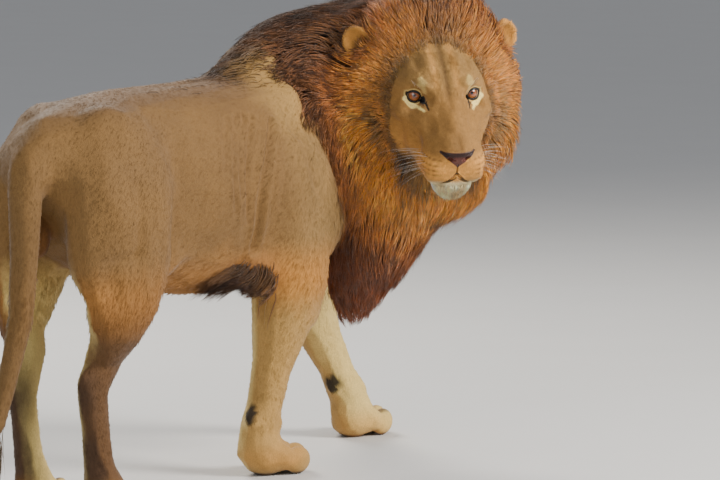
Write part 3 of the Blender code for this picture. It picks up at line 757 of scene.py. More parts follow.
def lid_distance(u, v):
    """How far a place in front of the eye is outside the lids' edge; inside, it is negative."""
    q = u / LID_WIDTH
    arch = np.clip(1 - q * q, 0, 1) ** 0.72
    top = LID_TOP * arch * (1 - 0.18 * q)
    low = -LID_BOTTOM * arch * (1 + 0.12 * q)
    beyond = np.hypot(np.maximum(np.abs(u) - LID_WIDTH, 0), v)
    return np.where(np.abs(q) < 1, np.maximum(v - top, low - v), beyond)


def eye_places(points, side):
    """Each point from the eye's middle: outwards, to the temple and up."""
    return (head_of(points) - (0, side * HALF_EYE_GAP, 0)) @ eye_axes(side).T


def lid_gap(points, side):
    """Distance outwards from the lids' edge, and how far each point is in front of the eye."""
    out, u, v = eye_places(points, side).T
    return lid_distance(u, v), ramp(out, -0.005, 0.005)


def shape_lids(surface):
    """Lays the skin over each eyeball, with an opening between the lids."""
    step = 1e-4
    for side in SIDES:
        place = eye_places(surface.points, side)
        reach = length_of(place)
        out, u, v = place.T
        off_axis = np.hypot(u, v)
        near = (out > 0.004) & (off_axis < 0.036) & (reach < 0.05)
        gap = lid_distance(u, v)
        snap = near & (np.abs(gap) < 0.00085)
        slope_u = (lid_distance(u + step, v) - lid_distance(u - step, v)) / (2 * step)
        slope_v = (lid_distance(u, v + step) - lid_distance(u, v - step)) / (2 * step)
        u = u - np.where(snap, gap * slope_u, 0)
        v = v - np.where(snap, gap * slope_v, 0)
        gap = np.where(snap, 0.0, gap)
        lowest = EYE_RADIUS + 0.0019 - 0.0005 * bump(gap, 0.0060, 0.002)
        highest = EYE_RADIUS + 0.0026 + 0.9 * np.maximum(gap - 0.0035, 0)
        opened = np.where(gap < -1e-6, EYE_RADIUS - 0.0035, np.clip(reach, lowest, highest))
        opened = np.where(snap, EYE_RADIUS + 0.0012, opened)
        radial = np.hypot(u, v)
        ahead = np.sqrt(np.maximum(opened**2 - radial**2, 0.004**2))
        fade = ramp(-off_axis, -0.036, -0.024) * near
        moved = np.stack((np.where(radial < opened, ahead, out), u, v), axis=1)
        local = mix(place, moved, fade) @ eye_axes(side) + (0, side * HALF_EYE_GAP, 0)
        surface.points = np.where(near[:, None], from_head(local), surface.points)
        ring = ramp(gap, 0.0035, 0.007) * ramp(-gap, -0.030, -0.018)
        surface.smooth(10, ring * near, keep_size=False)


def nose_pad(local):
    """1 on the bare pad of the nose, 0 outside."""
    x, y, z = local.T
    out = np.clip(np.abs(y) / 0.044, 0, 1)
    top = -0.0925 + 0.0010 * out
    low = -0.1335 + 0.0380 * out**0.95
    share = ramp(top - z, -0.0012, 0.0012) * ramp(z - low, -0.0012, 0.0012)
    return share * ramp(x, 0.140, 0.150) * (np.abs(y) < 0.0445)


def model_face(surface):
    local = head_of(surface.points)
    for (x, y, z), radii, (dx, dy, dz), both in FACE_FORMS:
        for side in SIDES if both else (LEFT,):
            shift = head_way((dx, side * dy, dz))
            surface.points += dome(local, (x, side * y, z), radii) * shift
    shape_lids(surface)
    tree = surface.tree()
    normals = surface.normals()
    local = head_of(surface.points)
    surface.points += normals * (0.0022 * nose_pad(local))[:, None]
    lines = [(FURROW, 0.009, 0.0030, 0.0), (PHILTRUM, 0.0018, 0.0038, 0.0004)]
    for side in SIDES:
        lines.append((mirrored(MOUTH, side), 0.0032, 0.0060, 0.0008))
        lines.append((mirrored(NOSTRIL_SLIT, side), 0.0030, 0.0060, 0.0006))
        lines.append((mirrored(TEAR_LINE, side), 0.0030, 0.0016, 0.0003))
        lines.append((mirrored(POUCH, side), 0.0040, 0.0014, 0.0004))
    for line, width, depth, lips in lines:
        groove(surface, normals, lay_on(tree, from_head(line)), width, depth, lips)
    for side in SIDES:
        x, y, z = NOSTRIL
        weight = dome(local, (x, side * y, z), NOSTRIL_RADII, 1.5)
        surface.points += weight * head_way((-0.011, -side * 0.002, 0.0))


def near_face(points):
    """The points of the face and the ears, which need a finer mesh."""
    local = head_of(points)
    face = (length_of(local - (0.05, 0, -0.06)) < 0.185) & (local[:, 0] > -0.07)
    return face | (ear_gap(local) < 0.062)


def near_fine_parts(points):
    """The points of the nose, lids and lips, which need the finest mesh."""
    wanted = length_of(head_of(points) - (0.185, 0, -0.108)) < 0.052
    for side in SIDES:
        place = eye_places(points, side)
        wanted |= (np.hypot(place[:, 1], place[:, 2]) < 0.037) & (length_of(place) < 0.055)
        mouth = from_head(mirrored(spline(MOUTH, 6), side))
        wanted |= distance_to_path(points, mouth, 0.018) < 0.014
    return wanted


def face_reach(local):
    """How far out a place of the head is: about 1 where the long hair begins."""
    return length_of((local - (0.020, 0.0, -0.045)) / (0.215, 0.150, 0.190))


def under_jaw(local):
    """1 on the throat behind the chin, where the mane hangs from."""
    return ramp(-local[:, 2], 0.150, 0.175) * ramp(-local[:, 0], -0.060, -0.025)


# ---------------------------------------------------------------- colours
COAT = {
    "tawny": linear(120, 88, 46),
    "back": linear(100, 71, 40),
    "grey": linear(142, 112, 64),
    "belly": linear(184, 124, 52),
    "pale": linear(188, 148, 82),
    "cream": linear(240, 214, 134),
    "dark": linear(50, 32, 20),
    "black": linear(12, 9, 8),
    "face": linear(146, 106, 54),
    "muzzle": linear(208, 148, 72),
    "white": linear(252, 236, 186),
    "nose": linear(84, 40, 30),
    "gold": linear(240, 160, 62),
    "orange": linear(172, 102, 42),
    "brown": linear(122, 74, 34),
    "umber": linear(78, 47, 25),
    "soot": linear(36, 25, 19),
    "rust": linear(158, 82, 38),
}
CARPAL_PADS, PAD_RADII = ((0.072, -0.088, 0.158), (0.705, 0.070, 0.150)), (0.020, 0.028, 0.030)


def layered(tint, *layers):
    """Lays colours of the coat over a tint, one after another: each one's name and share."""
    for name, share in layers:
        tint = mix(tint, COAT[name], np.clip(share, 0, 1))
    return tint


def body_tint(points, normals):
    """The short coat: grey-gold, darker on the back, paler below and on the lower legs, with painted shade
    along the folds.
    """
    forward, left, up = body_of(points).T
    patch = noise(points, 0.09)
    fine = noise(points, 0.018)
    leg_side = np.where((forward > 0.45) & (up < 0.45), 1.0, np.sign(left))
    inner = ramp(-normals[:, 0] * leg_side, 0.1, 0.7)
    behind = ramp(normals[:, 1], 0.3, 0.8) * ramp(-up, -0.24, -0.16) * ramp(-forward, 0.3, 0.4)
    pads = []
    for pad in CARPAL_PADS:
        away = length_of((points - world(*pad)) / PAD_RADII)
        pads.append(("black", 0.95 * ramp(-away, -1.15, -0.75)))
    crest_line = bump(left, 0, 0.03) * ramp(normals[:, 2], 0.5, 0.9) * ramp(forward, -0.10, 0.06)
    flat = body_of(points) * (1, 0, 1)
    # Painted shade: the coat is darkened along each fold of the skin behind the shoulder.
    folds = []
    for line, _, width in FOLDS:
        for side, ahead in FOLDS_AHEAD.items():
            path = spline([(f + ahead, 0, up) for f, up in line], 6)
            near = bump(distance_to_path(flat, path, 0.04), 0, 1.5 * width)
            folds.append(("back", 0.18 * (near * (left * side > 0.05))))
    tint = layered(
        np.tile(COAT["tawny"], (len(points), 1)),
        ("back", ramp(normals[:, 2], 0.55, 0.98) * ramp(up, 0.90, 0.96) * 0.75),
        ("grey", 0.60 * (ramp(forward, 0.02, 0.20) * ramp(up, 0.45, 0.60))),
        ("belly", ramp(-up, -0.60, -0.50) * ramp(up, 0.40, 0.46) * 0.75),
        ("pale", 0.75 * ramp(-up, -0.50, -0.36) * ramp(forward, -0.2, 0.0)),
        # Dark brown lower hind legs: partly the coat's own colour, partly painted shade under the body.
        ("umber", 0.65 * ramp(-up, -0.64, -0.40) * ramp(-forward, 0.30, 0.45)),
        # Paler on the shoulder's top: partly the coat's grey-gold, partly a painted highlight.
        ("pale", 0.50 * ramp(forward, 0.06, 0.16) * ramp(up, 0.80, 0.90)),
        ("cream", 0.6 * inner * ramp(-up, -0.62, -0.50)),
        ("dark", 0.9 * (bump(forward, -0.660, 0.035) * bump(up, 0.27, 0.085))),
        ("dark", 0.7 * behind),
        *pads,
        ("dark", 0.8 * ramp(-up, -0.012, -0.004)),
        ("belly", 0.45 * (ramp(-up, -0.10, -0.03) * ramp(patch, 0.35, 0.75))),
        ("soot", 0.8 * crest_line),
        *folds,
    )
    return tint * (0.79 + 0.20 * patch + 0.12 * fine)[:, None]


# Height and slope of the dark rows that the whiskers grow from.
WHISKER_ROWS = ((-0.113, 0.12), (-0.127, 0.10), (-0.140, 0.08), (-0.152, 0.05))


def face_line_gap(points, normals, line, side):
    """How far each point is from a line of the face, measured along the skin, up to 3 cm."""
    path = from_head(mirrored(spline(line, 4), side))
    gap = np.full(len(points), 0.03)
    near = np.nonzero(distance_to_path(points, path, 0.03) < 0.022)[0]
    subject, facing = points[near], normals[near]
    for a, b in zip(path, path[1:]):
        along = b - a
        t = np.clip((subject - a) @ along / (along @ along), 0, 1)
        away = subject - a - t[:, None] * along
        away -= facing * np.sum(away * facing, axis=1, keepdims=True)
        gap[near] = np.minimum(gap[near], length_of(away))
    return gap


def eye_layers(points, normals, side):
    """The marks round one eye and along one side of the lips, and painted shade along the cheek's edge."""

    def near(line, far, full):
        return ramp(-face_line_gap(points, normals, line, side), -far, -full)

    x = head_of(points)[:, 0]
    gap, ahead = lid_gap(points, side)
    above_eye = eye_places(points, side)[:, 2]
    band = 0.0070 - 0.0034 * ramp(x, 0.024, 0.056)
    below = face_line_gap(points, normals, UNDER_EYE, side)
    rim = 0.0050 + 0.0014 * ramp(above_eye, -0.004, 0.008)
    wide = 0.0066 - 0.0022 * ramp(x, 0.026, 0.066)
    tear = face_line_gap(points, normals, TEAR_LINE, side)
    return (
        # Painted shade: a dark band along the cheek's edge, towards the mane.
        ("dark", 0.45 * near(CHEEK_SHADE, 0.020, 0.004)),
        ("cream", 0.95 * ramp(band - below, -0.0012, 0.0014)),
        ("cream", 0.35 * near(OVER_EYE, 0.0100, 0.0030)),
        ("cream", 0.45 * (bump(gap, rim + 0.0024, 0.0016) * ahead)),
        ("black", ramp(wide - tear, -0.0012, 0.0006)),
        ("black", ahead * ramp(rim - gap, -0.0008, 0.0008)),
        ("black", 0.92 * near(MOUTH, 0.0046, 0.0026)),
    )


def face_tint(points, normals):
    """The face: grey-brown, golden muzzle with rows of dark spots, white chin, dark lids."""
    local = head_of(points)
    x, y, z = local.T
    out = np.abs(y)
    spots = []
    for row, (start, tilt) in enumerate(WHISKER_ROWS):
        along = 0.6 + 0.4 * np.cos((x + 0.002 * row) * 2 * math.pi / 0.010)
        stripe = bump(z, start + tilt * (0.15 - x), 0.0026) * along
        stripe = stripe * ramp(x, 0.085, 0.100) * ramp(out, 0.018, 0.03)
        spots.append(("dark", 0.75 * stripe * ramp(-x, -0.176, -0.166)))
    corner = bump(length_of(np.stack((x - 0.012, out - 0.090, z + 0.162), axis=1)), 0, 0.026)
    pad = nose_pad(local)
    edge = np.maximum(ramp(z, -0.108, -0.100), ramp(out, 0.020, 0.032))
    split = bump(y, 0, 0.0022) * ramp(-z, 0.120, 0.126) * ramp(z, -0.156, -0.150) * ramp(x, 0.15, 0.16)
    tint = layered(
        np.tile(COAT["face"], (len(points), 1)),
        ("grey", 0.5 * ramp(z, 0.0, 0.05)),
        ("back", 0.40 * (bump(y, 0, 0.020) * ramp(-z, 0.02, 0.08))),
        # Painted shade down the middle of the forehead, in its furrow.
        ("dark", 0.50 * (bump(y, 0, 0.0075) * ramp(z, -0.02, 0.03))),
        ("muzzle", 0.35 * (bump(out, 0.026, 0.009) * ramp(z, 0.01, 0.04))),
        ("muzzle", ramp(-z, 0.095, 0.125) * ramp(x, 0.05, 0.09)),
        ("muzzle", 0.40 * (ramp(out, 0.06, 0.10) * ramp(-z, 0.03, 0.12))),
        *spots,
        ("white", ramp(-z, 0.166, 0.180) * ramp(x, 0.05, 0.09) * ramp(-out, -0.070, -0.055)),
        # Dark at each corner of the mouth: the lips' own dark corner, with painted shade in the fold behind
        # it.
        ("dark", 0.80 * corner),
        *eye_layers(points, normals, LEFT),
        *eye_layers(points, normals, RIGHT),
        ("nose", pad),
        ("black", 0.8 * pad * edge),
        ("black", 0.9 * split),
    )
    return tint * (0.92 + 0.3 * noise(points, 0.007))[:, None]


def mane_tint(points, regions):
    """Gold round the face, then brown and dark brown, rusty on the chest, black on the crest."""
    local = regions["local"]
    up = body_of(points)[:, 2]
    back = np.maximum(-local[:, 0], 0)
    band = noise(points, 0.07)
    streak = noise(points * (1, 1, 0.35), 0.02)
    low = ramp(-up, -0.70, -0.50)
    reach = np.hypot(local[:, 1], local[:, 2] + 0.045) + 0.9 * back + 0.05 * (band - 0.5)
    tint = layered(
        np.tile(COAT["brown"], (len(points), 1)),
        ("umber", ramp(band, 0.40, 0.70) * 0.8),
        ("soot", ramp(up, 0.98, 1.10) * ramp(back, 0.16, 0.24) * 0.35),
        ("rust", low * 0.75),
        ("umber", low * ramp(streak, 0.35, 0.65) * 0.5),
        ("soot", regions["ruff"] * ramp(reach, 0.34, 0.42) * 0.7),
        ("orange", ramp(-reach, -0.40, -0.29) * (1 - regions["chest"])),
        ("gold", ramp(-reach, -0.31, -0.20)),
        ("umber", 0.65 * (bump(local[:, 1], 0, 0.05) * ramp(local[:, 2], 0.06, 0.12))),
        ("soot", 0.85 * np.maximum(regions["crest"], regions["elbow"] * 0.9)),
    )
    return tint * (0.90 + 0.40 * streak)[:, None]


def ear_tint(points, normals):
    """Golden with painted shade in the bowl, brown behind."""
    behind = ramp(-(normals @ head_way((1, 0, 0))), 0.0, 0.5)
    # Painted shade: the bowl of each ear is darkened.
    bowl = near_ears(head_of(points), 0.034, 0.020, (0.015, -0.006, -0.006))
    tint = np.tile(COAT["muzzle"], (len(points), 1))
    return layered(tint, ("brown", 0.85 * behind), ("umber", 0.75 * bowl * (1 - behind)))


def skin_tint(surface, regions):
    points, normals, local = surface.points, surface.normals(), regions["local"]
    bare = 1 - np.clip(regions["face"] + regions["ear"], 0, 1)
    mane = np.clip((regions["mane"] + regions["elbow"]) / np.maximum(bare, 0.05), 0, 1)
    reach = face_reach(local) + 0.10 * (noise(points, 0.03) - 0.5)
    near = (1 - ramp(reach, 0.84, 1.02)) * (local[:, 0] > -0.12) * (1 - under_jaw(local))
    face = np.clip(regions["face"] * (1 - ramp(reach, 0.90, 1.08)), 0, 1)
    face = np.maximum(face, near * np.clip(mane + face, 0, 1))
    tint = mix(body_tint(points, normals), mane_tint(points, regions), mane)
    tint = mix(tint, ear_tint(points, normals), regions["ear"])
    tint = layered(mix(tint, face_tint(points, normals), face), ("soot", regions["tuft"]))
    tint = mix(tint, 0.75 * COAT["tawny"], 0.9 * regions["tail"] * (1 - regions["tuft"]))
    return layered(tint, ("brown", 0.60 * regions["scrotum"]))


# ---------------------------------------------------------------- the coat
PATCH = 0.003
TUFT_FACES = np.array(((0, 2, 1), (0, 1, 3), (1, 2, 3), (2, 0, 3)))
TUFT_PATCH = PATCH * np.array(((0.0, 0.0), (0.0, 1.0), (0.4, 0.5), (1.0, 0.5)))
TUFT_SHADE = np.array((0.98, 0.98, 1.00, 1.04))[:, None]
ROOT_SUNK = 0.0004


class Coat:
    """Where hair grows: the skin with its lie, colours and unwrap, and the surface of the tips."""

    def __init__(self, surface, regions, tint, unwrap, outer, outer_lie, near_ear):
        self.surface = surface
        self.points = surface.points
        self.normals = surface.normals()
        self.regions = regions
        self.tint = tint
        self.unwrap = unwrap
        self.lie = lie_of(surface, regions)
        self.area = length_of(surface.face_normals()) / 2
        self.tip_triangles = outer.triangles[near_ear[outer.triangles].max(axis=1) < 0.3]
        self.tips = BVHTree.FromPolygons(outer.points.tolist(), self.tip_triangles.tolist())
        self.tip_lie = outer_lie
        self.tip_normals = outer.normals()

    def sow(self, weight, count):
        """That many roots at random, thickest where the weight is high."""
        share = self.area * weight[self.surface.triangles].mean(axis=1)
        total = np.cumsum(share)
        count = int(count * SPARSE)
        places = (np.arange(count) + RNG.random(count)) / count * total[-1]
        face = np.minimum(np.searchsorted(total, places), len(total) - 1)
        a, b = RNG.random(count), RNG.random(count)
        flip = a + b > 1
        a, b = np.where(flip, 1 - a, a), np.where(flip, 1 - b, b)
        return Roots(self, face, np.stack((1 - a - b, a, b), axis=1))

    def line_gap(self, line):
        """Distance along the skin to a line that both sides of the face have."""
        return np.minimum(*[face_line_gap(self.points, self.normals, line, side) for side in SIDES])


class Roots:
    """Places where hairs grow: each one's triangle and its shares of the three corners."""

    def __init__(self, coat, face, share):
        self.face = face
        self.share = share
        self.corners = coat.surface.triangles[face]
        self.points = self.of(coat.points)
        self.normals = unit(self.of(coat.normals))
        self.unwrap = np.sum(coat.unwrap[face] * share[:, :, None], axis=1)

    def of(self, field):
        """A field's value at each root. A field that is the same everywhere is one number."""
        if np.ndim(field) == 0:
            return field
        corners = field[self.corners]
        share = self.share if corners.ndim == 2 else self.share[:, :, None]
        return np.sum(corners * share, axis=1)


def add_colours(mesh, colours):
    layer = mesh.color_attributes.new("coat", "FLOAT_COLOR", "POINT")
    solid = np.concatenate((colours, np.ones((len(colours), 1))), axis=1)
    layer.data.foreach_set("color", np.clip(solid, 0, 1).astype(np.float32).ravel())


def hair_object(name, points, faces, colours, patches, outwards, softness):
    """Hairs in one mesh, from rows for each hair. All hairs have the same faces.

    The shading is turned towards the skin's own way out by a share, so that hair looks soft.
    """
    count, size = points.shape[:2]
    triangles = (faces[None] + (np.arange(count) * size)[:, None, None]).reshape(-1, 3)
    mesh = mesh_from(name, points.reshape(-1, 3), triangles)
    layer = mesh.uv_layers.new(name="OFBake")
    corners = patches.reshape(-1, 2)[triangles.ravel()]
    layer.data.foreach_set("uv", corners.astype(np.float32).ravel())
    add_colours(mesh, colours.reshape(-1, 3))
    mesh.shade_smooth()
    own = read(mesh.vertex_normals, "vector", 3).astype(float)
    normals = unit(mix(own, outwards.reshape(-1, 3), softness))
    mesh.normals_split_custom_set_from_vertices(normals.tolist())
    return add_object(name, mesh)


def lock_faces(rings):
    """The triangles of one tapered three-sided lock."""
    faces = [(0, 1, 2)]
    for low in range(0, (rings - 2) * 3, 3):
        high = low + 3
        for k in range(3):
            n = (k + 1) % 3
            faces.append((low + n, low + k, high + k))
            faces.append((low + n, high + k, high + n))
    last = (rings - 2) * 3
    for k in range(3):
        faces.append((last + (k + 1) % 3, last + k, last + 3))
    return np.array(faces)


def lock_mesh(name, path, side, lift, width, tint, root_place):
    """Tapered locks joined in one mesh. path has a row of places for each lock."""
    count, rings = path.shape[:2]
    t = np.linspace(0, 1, rings)
    profile = np.minimum(0.6 + 1.6 * t, 1.0) * (1 - t**2.2)
    half = 0.5 * width[:, None, None] * profile[None, :-1, None]
    spine = path[:, :-1]
    around = (
        spine + side[:, :-1] * half,
        spine - side[:, :-1] * half,
        spine + lift[:, :-1] * half * 0.55,
    )
    ring_points = np.stack(around, axis=2).reshape(count, (rings - 1) * 3, 3)
    points = np.concatenate((ring_points, path[:, -1:]), axis=1)
    along = np.append(np.repeat(t[:-1], 3), 1.0)
    across = np.append(np.tile((0.0, 1.0, 0.5), rings - 1), 0.5)
    patches = root_place[:, None] + np.stack((along, across), axis=1) * PATCH
    out = np.concatenate((np.repeat(lift[:, :-1], 3, axis=1), lift[:, -1:]), axis=1)
    return hair_object(name, points, lock_faces(rings), tint(along), patches, out, 0.45)


# How a piece's locks grow: rings, width, locks in a clump and the pull into it, size of the waves,
# how loosely they follow the tips' surface, stray, how far they stand out, and how much they fall.
Style = namedtuple("Style", "rings width clump pull wave loose stray out fall")
RUFF_STYLE = Style(5, 0.0032, 12, 0.60, 0.0045, 0.55, 0.20, 0.011, 0.15)
EDGE_STYLE = Style(4, 0.0017, 9, 0.45, 0.0015, 0.35, 0.14, 0.003, 0.05)
NECK_STYLE = Style(5, 0.0036, 12, 0.60, 0.0050, 0.40, 0.16, 0.007, 0.10)
BIB_STYLE = Style(7, 0.0030, 14, 0.70, 0.0060, 0.70, 0.14, 0.006, 0.50)
FRINGE_STYLE = Style(6, 0.0026, 12, 0.65, 0.0040, 1.00, 0.10, 0.007, 0.40)
CHIN_STYLE = Style(4, 0.0017, 8, 0.25, 0.0015, 1.00, 0.16, 0.003, 0.60)
EAR_STYLE = Style(4, 0.0014, 6, 0.40, 0.0010, 1.00, 0.16, 0.002, 0.0)


def grow_paths(coat, roots, first_way, length, deep, style):
    """Each lock's places from root to tip: along the lie, held near the surface of the tips."""
    count, rings = len(roots.points), style.rings
    path = np.empty((count, rings, 3))
    facing = np.empty_like(path)
    path[:, 0] = roots.points - roots.normals * 0.0015
    facing[:, 0] = roots.normals
    stray = style.stray * RNG.normal(size=(count, 3))
    out = style.out * (0.3 + 2.2 * RNG.random(count) ** 4)
    way = unit(first_way + stray * 0.5)
    step = (length / (rings - 1))[:, None]
    for ring in range(1, rings):
        t = ring / (rings - 1)
        place = path[:, ring - 1] + way * step
        near, face = nearest_on(coat.tips, place)
        corner = coat.tip_triangles[face, 0]
        normal = coat.tip_normals[corner]
        wanted = out * t * t - deep * (1 - t) ** 1.6
        now = np.sum((place - near) * normal, axis=1)
        hold = 0.9 * (1 - style.loose * t)
        shift = np.clip((wanted - now) * hold, -0.02, 0.02)
        path[:, ring] = place + normal * shift[:, None]
        facing[:, ring] = normal
        lie = coat.tip_lie[corner]
        way = unit(0.45 * way + 0.55 * lie + stray * 0.35 * t + DOWN * style.fall * t)
    return path, facing


def gather(path, every, pull):
    """Draws the locks together towards a few of them, so that they end in pointed tufts."""
    count = len(path)
    leaders = RNG.permutation(count)[: max(count // every, 1)]
    tree = KDTree(len(leaders))
    for i, leader in enumerate(leaders):
        tree.insert(path[leader, 0], i)
    tree.balance()
    found = [tree.find(root)[1:] for root in path[:, 0].tolist()]
    chosen = leaders[np.array([i for i, _ in found])]
    apart = np.array([gap for _, gap in found])
    t = np.linspace(0, 1, path.shape[1])[None, :, None]
    offset = (path[:, :1] - path[chosen, :1]) * (1 - 0.8 * t)
    together = path[chosen] + offset
    tip_gap = length_of(together[:, -1] - path[:, -1])
    firm = ramp(-apart, -0.035, -0.015) * ramp(-tip_gap, -0.06, -0.03) * pull
    return path + (together - path) * firm[:, None, None] * t, chosen


def frames_of(path, facing):
    """For each place on each lock: sideways and outwards."""
    along = unit(np.gradient(path, axis=1))
    side = unit(np.cross(along, facing))
    return side, np.cross(side, along)


def wavy(path, side, chosen, size):
    """Slow waves, shared by each tuft's locks."""
    count, rings = path.shape[:2]
    phase = (chosen * 0.618) % 1.0 * 2 * math.pi + 0.6 * RNG.random(count)
    t = np.linspace(0, 1, rings)
    swing = np.sin(phase[:, None] + t[None, :] * 5.5) * t[None, :] ** 0.8
    return path + side * (swing * size)[:, :, None]


def grow_locks(coat, name, weight, count, length, deep, style, way=None, shade=1.0):
    """Long hair in one piece. weight, length and deep are fields over the skin."""
    roots = coat.sow(weight, count)
    count = len(roots.points)
    long = roots.of(length) * (0.72 + 0.5 * RNG.random(count))
    first_way = unit(roots.of(coat.lie if way is None else way))
    path, facing = grow_paths(coat, roots, first_way, long, roots.of(deep), style)
    path, chosen = gather(path, style.clump, style.pull)
    side, lift = frames_of(path, facing)
    path = wavy(path, side, chosen, style.wave)
    path[:, :, 2] = np.maximum(path[:, :, 2], 0.004)
    wide = style.width * (0.7 + 0.6 * RNG.random(count))
    base = roots.of(coat.tint) * shade
    tuft_shade = 0.82 + 0.36 * ((chosen * 0.754877) % 1.0)
    vary = (tuft_shade * (0.80 + 0.40 * RNG.random(count)))[:, None, None]
    warm = 1 + (0.10 * RNG.normal(size=count))[:, None, None] * np.array((0.5, 0.0, -1.0))

    def tint(along):
        rise = (0.66 + 0.52 * along)[None, :, None]
        return base[:, None, :] * rise * vary * warm

    return lock_mesh(name, path, side, lift, wide, tint, roots.unwrap)


def grow_tufts(coat, name, weight, count, length, width, rise, stray):
    """Short fur: thin flat spikes that lie along the skin. length, width and rise are fields."""
    roots = coat.sow(weight, count)
    count = len(roots.points)
    normals = roots.normals
    way = unit(roots.of(coat.lie) + stray * RNG.normal(size=(count, 3)))
    side = unit(np.cross(way, normals))
    size = 0.65 + 0.7 * RNG.random(count)
    long = (roots.of(length) * size)[:, None]
    half = (roots.of(width) * size)[:, None] / 2
    up = (roots.of(rise) * (0.5 + 2.0 * RNG.random(count) ** 4))[:, None]
    tip = roots.points + way * long + normals * up
    tip[:, 2] = np.maximum(tip[:, 2], 0.001)
    left = roots.points + side * half - normals * ROOT_SUNK
    right = roots.points - side * half - normals * ROOT_SUNK
    top = roots.points + normals * up * 0.7 + way * long * 0.3
    points = np.stack((left, right, top, tip), axis=1)
    base = roots.of(coat.tint) * (0.90 + 0.20 * RNG.random(count))[:, None]
    patches = roots.unwrap[:, None] + TUFT_PATCH
    outwards = np.repeat(normals, 4, axis=0)
    colours = base[:, None, :] * TUFT_SHADE
    return hair_object(name, points, TUFT_FACES, colours, patches, outwards, 0.80)


# ---------------------------------------------------------------- materials
def new_material(name, **values):
    """A material with values for the shader's sockets; an underscore stands for a space."""
    material = bpy.data.materials.new(name)
    material.use_nodes = True
    shader = material.node_tree.nodes["Principled BSDF"]
    for socket, value in values.items():
        shader.inputs[socket.replace("_", " ")].default_value = value
    return material, material.node_tree, shader


def noise_node(tree, scale, stretch=(1, 1, 1), detail=3.0):
    place = tree.nodes.new("ShaderNodeTexCoord")
    mapping = tree.nodes.new("ShaderNodeMapping")
    mapping.inputs["Scale"].default_value = stretch
    texture = tree.nodes.new("ShaderNodeTexNoise")
    texture.inputs["Scale"].default_value = scale
    texture.inputs["Detail"].default_value = detail
    tree.links.new(place.outputs["Object"], mapping.inputs["Vector"])
    tree.links.new(mapping.outputs["Vector"], texture.inputs["Vector"])
    return texture.outputs["Fac"]


def mapped(tree, value, to_low, to_high, low=0.0, high=1.0):
    span = tree.nodes.new("ShaderNodeMapRange")
    for socket, number in zip(("From Min", "From Max", "To Min", "To Max"), (low, high, to_low, to_high)):
        span.inputs[socket].default_value = number
    tree.links.new(value, span.inputs["Value"])
    return span.outputs["Result"]


def attribute_node(tree, name):
    node = tree.nodes.new("ShaderNodeAttribute")
    node.attribute_name = name
    return node


def colour_from_coat(tree, shader, own, factor):
    """The mesh's own colour times a factor."""
    shade = tree.nodes.new("ShaderNodeVectorMath")
    shade.operation = "SCALE"
    tree.links.new(own.outputs["Color"], shade.inputs[0])
    tree.links.new(factor, shade.inputs["Scale"])
    tree.links.new(shade.outputs["Vector"], shader.inputs["Base Color"])


def hair_material(name, roughness, streak_scale, contrast, bump_strength):
    """Fur: the coat's own colour, broken by fine streaks, with a soft sheen."""
    material, tree, shader = new_material(
        name, Roughness=roughness, Specular_IOR_Level=0.28, Sheen_Weight=0.12, Sheen_Roughness=0.45
    )
    own = attribute_node(tree, "coat")
    streaks = noise_node(tree, streak_scale, (1.0, 1.0, 0.45))
    factor = mapped(tree, streaks, 1 - contrast, 1 + contrast, 0.3, 0.7)
    colour_from_coat(tree, shader, own, factor)
    relief = tree.nodes.new("ShaderNodeBump")
    relief.inputs["Strength"].default_value = bump_strength
    relief.inputs["Distance"].default_value = 0.002
    tree.links.new(streaks, relief.inputs["Height"])
    tree.links.new(relief.outputs["Normal"], shader.inputs["Normal"])
    return material


def skin_material():
    """The skin under the fur, with bare nose and lids smoother than the rest."""
    material = hair_material("short_coat_skin", 0.72, 420.0, 0.16, 0.45)
    tree = material.node_tree
    bare = attribute_node(tree, "bare")
    roughness = mapped(tree, bare.outputs["Fac"], 0.75, 0.34)
    tree.links.new(roughness, tree.nodes["Principled BSDF"].inputs["Roughness"])
    return material


def eye_material():
    """A wet eye, its own colours broken by fine fibres."""
    material, tree, shader = new_material("eye", Roughness=0.12, Coat_Weight=1.0, Coat_Roughness=0.03)
    own = attribute_node(tree, "coat")
    fibres = noise_node(tree, 900.0, (1, 1, 1), 2.0)
    colour_from_coat(tree, shader, own, mapped(tree, fibres, 0.75, 1.25))
    return material


EYE_LOOK = eye_material()
SKIN_LOOK = skin_material()
SHORT_LOOK = hair_material("short_fur", 0.78, 260.0, 0.14, 0.25)
MANE_LOOK = hair_material("mane_hair", 0.62, 90.0, 0.22, 0.15)
WHISKER_LOOK = hair_material("whisker", 0.45, 60.0, 0.05, 0.05)


def dress(obj, look, slot, *nodes):
    """Gives a piece its material and body, and hides the solids that it stands for. The slot is not used.
    """
    obj.data.materials.append(look)
    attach(obj, "root")
    if nodes:
        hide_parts(*nodes)


# ---------------------------------------------------------------- eyes and whiskers
PUPIL, IRIS, CORNEA_RISE = 0.0038, 0.0140, 0.0010
GAZE_SHARE = 0.62
WHISKER_RINGS = 6
VIEW_ANGLE, VIEW_DOWN, VIEW_DISTANCE = 58.0, 6.2, 12.0
VIEW_TARGET = world(0.273, -0.282, 0.578)
LENS = 245.4


def view_direction():
    """Where the viewer looks: the lion looks back at it."""
    angle, down = math.radians(VIEW_ANGLE), math.radians(VIEW_DOWN)
    flat = math.sin(angle) * np.array((0, -1, 0)) + math.cos(angle) * np.array((1, 0, 0))
    return flat * math.cos(down) + np.array((0, 0, -math.sin(down)))


